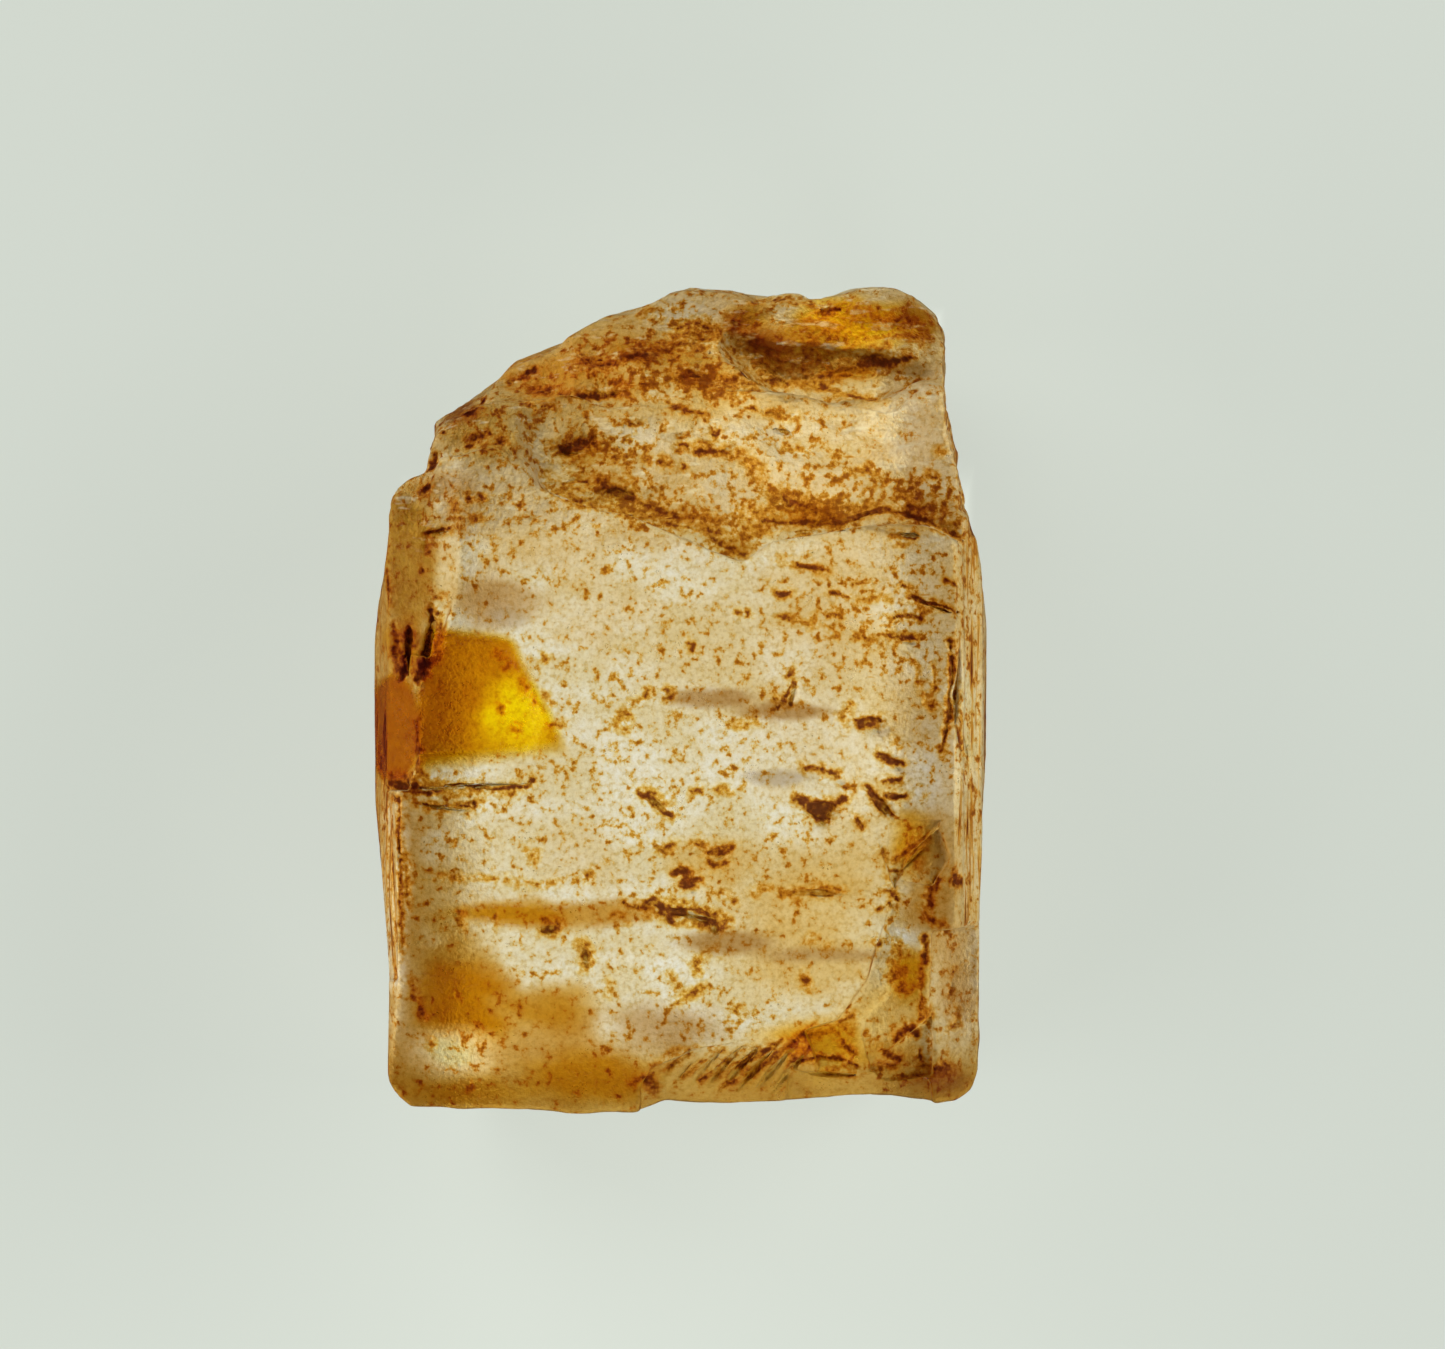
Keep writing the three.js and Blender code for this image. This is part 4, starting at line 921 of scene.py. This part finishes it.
# The right shoulder slopes away and gets less of the pad's light, so it is painted paler here: painted
# light.
wash("painted light, right shoulder", seen(234, 202, 138), 0.95, (7.8, 8.9), (2.5, 2.3))
wash("pale, left of the middle", PALE, 0.8, (-1.4, 8.7), (1.9, 1.0))
wash("pale band", PALE, 0.8, (1.7, 8.6), (1.9, 0.9))
wash("pale middle", PALE, 0.6, (4.2, 8.4), (2.6, 1.3))
wash("brown spot, left", TAN, 0.9, (-3.3, 8.2), (1.5, 0.7))
wash("left corner", BUFF, 0.8, (-8.4, 7.0), (1.2, 1.0))
wash("ledge, left", TAN, 0.6, (-2.8, 7.1), (1.9, 0.8))
wash("ledge, middle", HONEY, 0.6, (0.4, 6.0), (1.9, 0.6))
wash("ledge, dip", TAN, 0.7, (1.8, 4.9), (1.0, 0.6))
wash("ledge, dark middle", OCHRE, 0.65, (4.1, 6.0), (1.6, 0.6))
wash("ledge, right", HONEY, 0.65, (7.4, 6.1), (2.3, 0.9))
wash("pale spot on the ledge", PALE, 0.8, (1.3, 7.2), (1.0, 0.9))
print(len(laid), "washes so far")

# %% Washes on the upper face
wash("smooth left plane", SAND, 1.0, (-5.6, 5.6), (2.2, 2.2), softness=0.6)
wash("plane, edge", BUFF, 0.8, (-7.3, 6.2), (1.0, 1.6))
wash("left strip", TAN, 1.0, (-8.8, 4.6), (1.2, 2.8), softness=0.5)
wash("strip, inner edge", SAND, 0.9, (-7.6, 4.2), (0.6, 2.0))
wash("left strip, rust", TAN, 0.6, (-8.5, 5.2), (0.7, 0.9))
wash("left strip, foot", OCHRE, 1.0, (-8.9, 1.7), (1.1, 1.5))
wash("grey band above the window", BUFF, 0.9, (-6.2, 3.2), (1.6, 1.4))
wash("shade above the window", seen(182, 144, 88), 0.8, (-5.6, 3.2), (1.6, 0.9))
wash("grey spot above the window", GREY, 0.5, (-5.6, 2.6), (1.0, 0.5))
wash("sand, upper left face", SAND, 0.5, (-3.4, 4.6), (1.8, 1.4))
wash("sand, upper right face", SAND, 0.7, (5.0, 3.3), (3.2, 2.3))
wash("warm upper left", SAND, 0.35, (-2.8, 3.0), (3.2, 2.4))
wash("warm middle", SAND, 0.4, (0.6, 2.2), (6.4, 3.2))
wash("warm right half", SAND, 0.4, (5.6, -0.6), (4.6, 7.0))
wash("buff, right shoulder", SAND, 0.6, (7.8, 3.6), (1.5, 2.2))
# The right side slopes away and takes less of the pad's light, so its rim is painted paler: painted light.
wash("painted light, right rim", seen(238, 210, 150), 0.9, (9.4, -0.8), (0.9, 3.4))
wash("buff, right middle", SAND, 0.7, (7.8, -0.6), (1.6, 2.6))
print(len(laid), "washes so far")

# %% Washes on the lower face
wash("sand heart", SAND, 0.35, (-3.2, -5.2), (2.4, 1.5))
wash("pale foot of the heart", WHITE, 0.6, (-1.2, -8.7), (2.2, 0.9))
wash("honey among the pits", GOLD, 0.8, (0.9, -5.6), (1.8, 1.2))
wash("gold, lower right", seen(210, 176, 106), 0.9, (4.6, -6.3), (4.4, 2.6), softness=0.7)
wash("gold, right of the pits", GOLD, 0.6, (4.4, -6.2), (2.6, 1.0))
wash("gold, low right", GOLD, 0.7, (4.6, -8.6), (3.6, 2.2), softness=0.7)
wash("broken corner", seen(226, 184, 96), 1.0, (6.8, -10.7), (2.4, 1.6), softness=0.6)
wash("left low", TAN, 0.62, (-8.0, -6.8), (2.0, 4.6), softness=1.0)
wash("left margin", seen(232, 204, 150), 0.9, (-9.4, -6.6), (0.7, 5.0), softness=0.5)
wash("left low, inner", TAN, 0.9, (-7.4, -8.2), (2.1, 1.5))
wash("foot, left half", HONEY, 0.9, (-5.0, -11.4), (4.6, 1.9))
wash("orange low left", seen(182, 114, 10), 1.0, (-6.9, -10.1), (2.5, 1.6), softness=0.7)
wash("rusty cloud low", OCHRE, 0.8, (-4.4, -10.2), (2.0, 1.2))
wash("bottom left", OCHRE, 0.7, (-6.6, -13.0), (3.0, 0.8))
wash("light spot low left", seen(244, 214, 150), 1.0, (-7.5, -11.8), (2.0, 1.1))
wash("bottom middle", OCHRE, 1.0, (-3.2, -12.5), (3.2, 1.1), softness=0.7)
wash("buff, bottom", seen(184, 146, 88), 0.9, (-0.8, -10.8), (2.5, 1.2), softness=0.7)
wash("bottom right", TAN, 0.7, (2.8, -12.3), (3.2, 1.0))
wash("orange, bottom right", seen(214, 148, 24), 1.0, (4.6, -11.4), (2.4, 1.2), softness=0.7)
wash("rust, bottom right", OCHRE, 0.55, (7.0, -11.8), (1.6, 0.9))
wash("orange break", ORANGE, 0.9, (7.7, -4.9), (0.9, 1.3))
wash("honey, right", HONEY, 0.75, (8.3, -6.3), (1.2, 3.2))
wash("right margin, low", seen(202, 162, 96), 1.0, (9.1, -9.4), (1.1, 3.0))
wash("orange, right low", ORANGE, 0.85, (7.5, -9.1), (0.9, 1.4))
wash("right corner", RUST, 0.5, (8.6, -12.7), (1.3, 0.7))
print(len(laid), "washes so far")

# %% Washes for the veils inside the crystal, painted as the shade they cast
# The veils are cleavage cracks inside the stone. What is painted here is painted shade: the darker bands
# they cast in the pad's light, laid on the skin.
wash("upper veil", SHADE, 0.95, (1.0, -0.02), (1.8, 0.36), softness=0.6)
wash("upper veil, right", SHADE, 1.0, (3.6, -0.45), (2.0, 0.36), softness=0.6)
wash("middle veil", GREY, 0.7, (3.2, -2.6), (1.5, 0.34), softness=0.6)
wash("lower left veil", OCHRE, 1.0, (-5.0, -7.12), (3.4, 0.62), softness=0.7)
wash("lower left veil, yellow", HONEY, 0.95, (-2.4, -7.1), (2.2, 0.55), softness=0.7)
wash("lower right veil", SHADE, 0.9, (1.4, -8.05), (2.4, 0.5), softness=0.7)
wash("lower right veil, end", SHADE, 0.75, (4.9, -8.45), (3.0, 0.38), softness=0.7)
print(len(laid), "washes laid, from", laid[0], "to", laid[-1])

# %% [markdown]
# ## The yellow window
# On the left a chip has taken the frosted skin away, and one looks straight into golden topaz.
# The window has straight cleavage edges. It is sharp on the left, softer above and on the right, and
# fades at its foot. Each edge is a line with its own softness, and the window is where all of them
# agree. The flank beside it is bare as well, and is painted in a darker orange. A lemon spot in the
# window is its brightest part.

# %% Paint the window
def pane(*sides):
    """Each side is (x, y) to (x, y), with the pane on its left, and a softness in mm."""
    amount = np.ones(len(points))
    for (ax, ay), (bx, by), softness in sides:
        length = np.hypot(bx - ax, by - ay)
        left_of = ((bx - ax) * (y - ay) - (by - ay) * (x - ax)) / length
        amount *= smooth_step(left_of + 0.04 * field(points, 0.5, 121, 2), -softness / 2, softness / 2)
    return amount * smooth_step(normal[:, 2], -0.2, 0.1)

window = pane(
    ((-8.35, 2.05), (-8.60, 0.30), 0.20),
    ((-8.60, 0.30), (-8.60, -2.0), 0.15),
    ((-8.7, -2.25), (-4.0, -1.55), 1.0),
    ((-3.9, -1.5), (-5.60, 2.0), 0.55),
    ((-5.5, 1.95), (-8.35, 2.25), 0.50),
)
side = 1 - smooth_step(np.hypot((x + 9.5) / 1.15, (y + 1.1) / 2.0) + 0.5 * ragged_edge, 0.8, 1.0)
side *= smooth_step(normal[:, 2], -0.3, 0.0)
SIDE_FROM, SIDE_FULL = 5.4, 7.0
side *= smooth_step(z + 0.3 * field(points, 0.8, 123, 2), SIDE_FROM, SIDE_FULL)
lay(AMBER, window)
lay(SIDE_ORANGE, side)
lemon_away = np.hypot((x + 5.2) / 2.1, (y + 0.6) / 1.9) + 0.2 * field(points, 0.7, 122, 2)
lemon = 1 - smooth_step(lemon_away, 0.3, 1.0)
lay(YELLOW, lemon * window)
print("window covers", int((window > 0.5).sum()), "corners")

# %% [markdown]
# ## From the colour that is seen to the colour that is painted
# Part of the light that leaves the skin was scattered by it and takes the full paint colour. The
# rest came up through the stone and takes only its square root, because glass tints on the way in
# and on the way out. So what is seen is SCATTERED x paint + FROM_BELOW x root of paint + HAZE, and
# this is turned round to find the paint. SCATTERED and FROM_BELOW are what these lamps and this pad
# give, for red, green and blue, and HAZE is the little glare that is left.
# Last, a broad cloudiness is laid over the paint, because no skin is evenly thick.

# %% Turn seen colours into paint
SCATTERED = np.array([0.46, 0.39, 0.28])
FROM_BELOW = np.array([0.36, 0.30, 0.15])
HAZE = 0.003
DARKEST, PALEST = 0.00003, 0.98

def paint_for(seen_colour):
    light = np.clip(seen_colour - HAZE, 0, None)
    root = np.sqrt(FROM_BELOW ** 2 + 4 * SCATTERED * light)
    return np.clip(((root - FROM_BELOW) / (2 * SCATTERED)) ** 2, DARKEST, PALEST)

CLOUDED = np.array([0.89, 0.80, 0.58])
cloud = 0.9 * (1 - smooth_step(field(points, (1.8, 0.9, 1.1), 161, 3), -0.6, 0.5))
skin_paint = paint_for(colour) * (1 - cloud[:, None] * (1 - CLOUDED))
print("mean paint:", skin_paint.mean(axis=0).round(2))

# %% [markdown]
# ## Frost
# The skin is dull where acids have eaten it, and glassier where it has chipped lately. Roughness is
# therefore a value that each corner carries: about a third for the frosted skin, and less for the
# window, the flank beside it and the fresh chip at the upper left corner.

# %% Set the frost
FROSTED = 0.34
frost = np.full(len(points), FROSTED)
frost += 0.05 * field(points, 0.8, 131, 2)
frost -= 0.14 * window
frost -= 0.10 * side
chip_away = np.hypot((x + 8.8) / 0.8, (y - 7.1) / 0.5)
frost -= 0.18 * (1 - smooth_step(chip_away, 0.4, 1.0))
print("frost: %.2f to %.2f" % (frost.min(), frost.max()))

# %% [markdown]
# ## Rust specks
# Besides the listed marks the whole stone is peppered with rust specks, thick at the etched
# end and thin on the face. The material draws them, and this value tells it how many. It is higher
# in hollows, where rust gathers, and is raised or lowered in a few given places.

# %% Set the density of the specks
SPECKLE_BASE = 0.325
speckle = SPECKLE_BASE + 0.08 * field(points, 2.2, 141, 2)
speckle += 0.10 * etched + 0.12 * flank + 0.15 * back
speckle += 0.12 * np.clip(hollow, -0.5, 1)

def pepper(amount, centre, reach):
    away = np.hypot((x - centre[0]) / reach[0], (y - centre[1]) / reach[1]) + ragged_edge
    speckle[:] = speckle + amount * (1 - smooth_step(away, 0.3, 1.1))

pepper(0.30, (-1.4, 10.8), (2.9, 1.1))
pepper(0.28, (0.5, 11.4), (1.5, 1.5))
pepper(0.28, (0.7, 10.4), (2.2, 0.8))
pepper(0.30, (-3.0, 8.1), (1.8, 0.8))
pepper(0.32, (-1.9, 6.7), (2.0, 0.8))
pepper(0.31, (0.2, 6.0), (2.6, 0.8))
pepper(0.32, (1.6, 5.1), (1.2, 1.0))
pepper(0.31, (4.2, 6.2), (2.9, 0.9))
pepper(0.24, (5.6, 7.0), (1.8, 1.1))
pepper(0.34, (8.1, 6.3), (1.9, 1.1))
pepper(0.16, (6.6, 2.9), (3.2, 2.6))
pepper(0.20, (-6.2, 9.0), (1.6, 1.6))
pepper(-0.30, (7.4, 8.9), (2.0, 1.5))
speckle -= 0.35 * window + 0.35 * side
speckle = np.clip(speckle, 0, 1)
print("specks: %.2f on average" % speckle.mean())

# %% [markdown]
# ## Make the mesh
# The corners and faces become one closed mesh, and what has been worked out for each corner goes
# with it as attributes, which the material reads by name. All three are vectors: the parts of the
# colour in one, the marks, the specks and the frost in the next, and in the last one how far a
# corner belongs to the flanks and to the etched end. Cycles loses single floats and colours on a
# mesh whose material has a volume, but it keeps vectors.

# %% Build the stone
points[:, 2] = np.maximum(points[:, 2], 0)
mesh = bpy.data.meshes.new("topaz_stone")
mesh.from_pydata((points * MM).tolist(), [], faces.tolist())
mesh.polygons.foreach_set("use_smooth", np.ones(len(faces), dtype=bool))
mesh.update()

def carry(name, values):
    """Give the mesh three values from 0 to 1 at each corner."""
    layer = mesh.attributes.new(name, "FLOAT_VECTOR", "POINT")
    layer.data.foreach_set("vector", np.clip(values, 0, 1).astype(np.float32).ravel())

carry("skin_colour", skin_paint)
carry("skin_state", np.stack([mark_level, speckle, frost], axis=1))
carry("skin_zone", np.stack([flank, etched, np.zeros(len(points))], axis=1))

stone = bpy.data.objects.new("topaz_stone", mesh)
scene.collection.objects.link(stone)
print("stone:", len(mesh.polygons), "faces")

# %% [markdown]
# ## The topaz material
# One Principled shader makes the crystal: plain transmission at topaz's own index of 1.62, and a
# plain absorbing volume, which deepens the honey colour along long paths. The nodes only decide
# the colour and the dullness of the skin, and its finest grain. Six noises do that work:
#
# - ragged: frays the edges of the marks, and its middle line draws thin veins
# - blot and small: together they make the rust specks, and each tints the skin a little
# - slit: stretched sideways like the etch pits, for slit-shaped specks, and for pale flecks that are
#   painted glints
# - rib: stretched along the prism, for rust caught between the ribs of the flanks
# - fine grain: the frosted grain itself

# %% Nodes by the line
topaz = bpy.data.materials.new("topaz")
topaz.use_nodes = True
nodes = topaz.node_tree.nodes
links = topaz.node_tree.links
shader = nodes["Principled BSDF"]

def connect(value, socket):
    if isinstance(value, (int, float)):
        socket.default_value = value
    else:
        links.new(value, socket)

def math_node(operation, *values, clamp=False):
    node = nodes.new("ShaderNodeMath")
    node.operation = operation
    node.use_clamp = clamp
    for value, socket in zip(values, node.inputs):
        connect(value, socket)
    return node.outputs["Value"]

def carried(name):
    node = nodes.new("ShaderNodeAttribute")
    node.attribute_name = name
    return node.outputs["Vector"]

print("a node now takes one line")

# %% Noises, ramps and mixes
coordinates = nodes.new("ShaderNodeTexCoord")

def noise(size, detail, roughness, stretch=(1, 1, 1), twist=0.0):
    """A noise whose spots are about `size` mm across."""
    mapping = nodes.new("ShaderNodeMapping")
    mapping.inputs["Scale"].default_value = [s / (size * MM) for s in stretch]
    links.new(coordinates.outputs["Object"], mapping.inputs["Vector"])
    node = nodes.new("ShaderNodeTexNoise")
    node.inputs["Scale"].default_value = 1
    node.inputs["Detail"].default_value = detail
    node.inputs["Roughness"].default_value = roughness
    node.inputs["Distortion"].default_value = twist
    links.new(mapping.outputs["Vector"], node.inputs["Vector"])
    return node.outputs["Fac"]

def ramp(value, stops):
    node = nodes.new("ShaderNodeValToRGB")
    node.color_ramp.interpolation = "LINEAR"
    elements = node.color_ramp.elements
    while len(elements) < len(stops):
        elements.new(0.5)
    for element, (position, rgb) in zip(elements, stops):
        element.position = position
        element.color = (*rgb, 1)
    connect(value, node.inputs["Fac"])
    return node.outputs["Color"]

def mix(blend, amount, first, second):
    node = nodes.new("ShaderNodeMix")
    node.data_type = "RGBA"
    node.blend_type = blend
    sockets = {socket.identifier: socket for socket in [*node.inputs, *node.outputs]}
    connect(amount, sockets["Factor_Float"])
    links.new(first, sockets["A_Color"])
    links.new(second, sockets["B_Color"])
    return sockets["Result_Color"]

def centred(value, gain):
    """A noise runs from 0 to 1. This one runs evenly to both sides of 0."""
    return math_node("MULTIPLY_ADD", value, gain, -gain / 2)

print("noises, ramps and mixes ready")

# %% Unpack what each corner carries
state = nodes.new("ShaderNodeSeparateXYZ")
links.new(carried("skin_state"), state.inputs["Vector"])
carried_level, carried_specks, carried_frost = (state.outputs[axis] for axis in "XYZ")
zone = nodes.new("ShaderNodeSeparateXYZ")
links.new(carried("skin_zone"), zone.inputs["Vector"])
carried_flank, carried_etched = (zone.outputs[axis] for axis in "XY")
print("level, specks, frost, flank and etched end unpacked")

# %% Six noises
ragged_noise = noise(0.62, 4, 0.62, stretch=(0.85, 1.3, 1.1))
blot_noise = noise(0.42, 3, 0.60, stretch=(1.15, 0.95, 1.0))
small_noise = noise(0.20, 3, 0.55)
slit_noise = noise(0.60, 2, 0.55, stretch=(0.60, 2.4, 1.6))
rib_noise = noise(0.36, 3, 0.60, stretch=(1.0, 0.10, 1.0), twist=0.5)
fine_grain = noise(0.11, 2, 0.6)
print("noises made,", len(nodes), "nodes so far")

# %% Specks, slits and ribs
SPECK_RARE, SPECK_GAIN, SPECK_CONTRAST = 0.75, 0.30, 5.5
SPECK_MOST, SPECK_SOFTNESS = 0.68, 0.5
BLOT_SHARE, SMALL_SHARE = 0.72, 0.45
speck_limit = math_node("MULTIPLY_ADD", carried_specks, -SPECK_GAIN, SPECK_RARE)
blots = math_node("MULTIPLY", blot_noise, BLOT_SHARE)
speck_source = math_node("MULTIPLY_ADD", small_noise, SMALL_SHARE, blots)
specks = math_node("MULTIPLY", math_node("SUBTRACT", speck_source, speck_limit), SPECK_CONTRAST)
specks = math_node("SMOOTH_MIN", specks, SPECK_MOST, SPECK_SOFTNESS)

SLIT_RARE, SLIT_GAIN, SLIT_CONTRAST = 0.86, 0.27, 9.0
slit_limit = math_node("MULTIPLY_ADD", carried_specks, -SLIT_GAIN, SLIT_RARE)
slits = math_node("MULTIPLY", math_node("SUBTRACT", slit_noise, slit_limit), SLIT_CONTRAST)

RIB_LIMIT, RIB_CONTRAST = 0.51, 5.5
rib_limit = math_node("MULTIPLY_ADD", carried_flank, -1.0, 1.0 + RIB_LIMIT)
rib_stain = math_node("MULTIPLY", math_node("SUBTRACT", rib_noise, rib_limit), RIB_CONTRAST)
print("specks, slits and ribs ready")

# %% Frayed marks
FRAY, FRAY_RAGGED, FRAY_SMALL, FRAY_RISE = 1.3, 1.1, 1.3, 4
fray = math_node("ADD", centred(ragged_noise, FRAY_RAGGED), centred(small_noise, FRAY_SMALL))
in_mark = math_node("MULTIPLY", carried_level, FRAY_RISE, clamp=True)
fraying = math_node("MULTIPLY", fray, math_node("MULTIPLY", in_mark, FRAY))
frayed = math_node("ADD", fraying, carried_level)
print("marks frayed")

# %% Thin veins
VEIN_WIDTH = 0.014
VEIN_GAIN, VEIN_START = 5.0, 2.4
VEIN_EVERYWHERE, VEIN_MORE = 0.16, 0.55
off_line = math_node("ABSOLUTE", math_node("SUBTRACT", ragged_noise, 0.5))
vein = math_node("MULTIPLY_ADD", off_line, -1 / VEIN_WIDTH, 1.0, clamp=True)
vein_here = math_node("MULTIPLY_ADD", blot_noise, VEIN_GAIN, -VEIN_START, clamp=True)
vein_side = math_node("ADD", carried_etched, carried_flank)
vein_zone = math_node("MULTIPLY_ADD", vein_side, VEIN_MORE, VEIN_EVERYWHERE)
vein = math_node("MULTIPLY", math_node("MULTIPLY", vein, vein_here), vein_zone)
print("veins ready")

# %% From stain to rust colour
stains = math_node("MAXIMUM", math_node("MAXIMUM", specks, slits), math_node("MAXIMUM", frayed, rib_stain))
iron = math_node("MAXIMUM", stains, vein, clamp=True)

rust = ramp(iron, [
    (0.00, (1.0, 1.0, 1.0)),
    (0.10, (0.98, 0.84, 0.46)),
    (0.30, (0.87, 0.49, 0.05)),
    (0.50, (0.62, 0.23, 0.008)),
    (0.74, (0.23, 0.034, 0.003)),
    (0.98, (0.10, 0.013, 0.003)),
])
print("rust ready")

# %% Frosted grain and painted glints
BARE = (1.0, 1.0, 1.0)
GLINT_COLOUR = (0.95, 0.88, 0.62)
grain_tone = ramp(fine_grain, [(0.28, (0.84, 0.80, 0.72)), (0.50, (0.97, 0.96, 0.94)), (0.70, BARE)])
mottle_tone = ramp(small_noise, [(0.38, BARE), (0.52, (0.95, 0.92, 0.84)), (0.64, (0.80, 0.66, 0.38))])
blot_tone = ramp(blot_noise, [(0.36, BARE), (0.52, (0.96, 0.92, 0.82)), (0.68, (0.84, 0.68, 0.36))])
skin = carried("skin_colour")
for tone in (grain_tone, mottle_tone, blot_tone):
    skin = mix("MULTIPLY", 1.0, skin, tone)
# On the etched end, pale flecks are painted where its tiny facets would glint: painted highlights.
GLINT_START, GLINT_GAIN, GLINT_MOST = 3.0, 7.0, 0.5
painted_glint = math_node("MULTIPLY_ADD", slit_noise, -GLINT_GAIN, GLINT_START)
painted_glint = math_node("MULTIPLY", painted_glint, carried_etched, clamp=True)
pale = nodes.new("ShaderNodeRGB")
pale.outputs["Color"].default_value = (*GLINT_COLOUR, 1)
skin = mix("MIX", math_node("MULTIPLY", painted_glint, GLINT_MOST), skin, pale.outputs["Color"])
skin = mix("MULTIPLY", 1.0, skin, rust)
links.new(skin, shader.inputs["Base Color"])
print("skin colour linked")

# %% Roughness and bump
FROST_GRAIN = 0.16
RUST_DULLS = 0.5
grainy_frost = math_node("ADD", carried_frost, centred(fine_grain, FROST_GRAIN))
dulled = math_node("MULTIPLY_ADD", iron, RUST_DULLS, 1.0)
roughness = math_node("MULTIPLY", grainy_frost, dulled, clamp=True)
links.new(roughness, shader.inputs["Roughness"])

PIT_HEIGHT, PIT_HEIGHT_MORE = 0.6, 1.4
GRAIN_SHARE, MARK_SINKS = 0.5, 0.5
pit_height = math_node("MULTIPLY_ADD", carried_etched, PIT_HEIGHT_MORE, PIT_HEIGHT)
grain = math_node("MULTIPLY", fine_grain, GRAIN_SHARE)
height = math_node("MULTIPLY_ADD", small_noise, pit_height, grain)
height = math_node("MULTIPLY_ADD", carried_level, -MARK_SINKS, height)
BUMP_STRENGTH = 0.8
GRAIN_HEIGHT = 0.07 * MM
bump = nodes.new("ShaderNodeBump")
bump.inputs["Strength"].default_value = BUMP_STRENGTH
bump.inputs["Distance"].default_value = GRAIN_HEIGHT
links.new(height, bump.inputs["Height"])
links.new(bump.outputs["Normal"], shader.inputs["Normal"])
print("roughness and bump linked")

# %% Crystal body
TOPAZ_INDEX = 1.62
CLEARNESS = 0.55
HONEY_COLOUR = (0.98, 0.88, 0.64)
HONEY_DENSITY = 35
shader.inputs["IOR"].default_value = TOPAZ_INDEX
shader.inputs["Specular IOR Level"].default_value = 0.2
shader.inputs["Transmission Weight"].default_value = CLEARNESS
honey = nodes.new("ShaderNodeVolumeAbsorption")
honey.inputs["Color"].default_value = (*HONEY_COLOUR, 1)
honey.inputs["Density"].default_value = HONEY_DENSITY
links.new(honey.outputs["Volume"], nodes["Material Output"].inputs["Volume"])
mesh.materials.append(topaz)
print("topaz material:", len(nodes), "nodes")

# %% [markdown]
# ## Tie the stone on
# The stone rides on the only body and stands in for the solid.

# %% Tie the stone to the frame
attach(stone, "root")
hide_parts("topaz_crystal")
print("stone tied to the root")
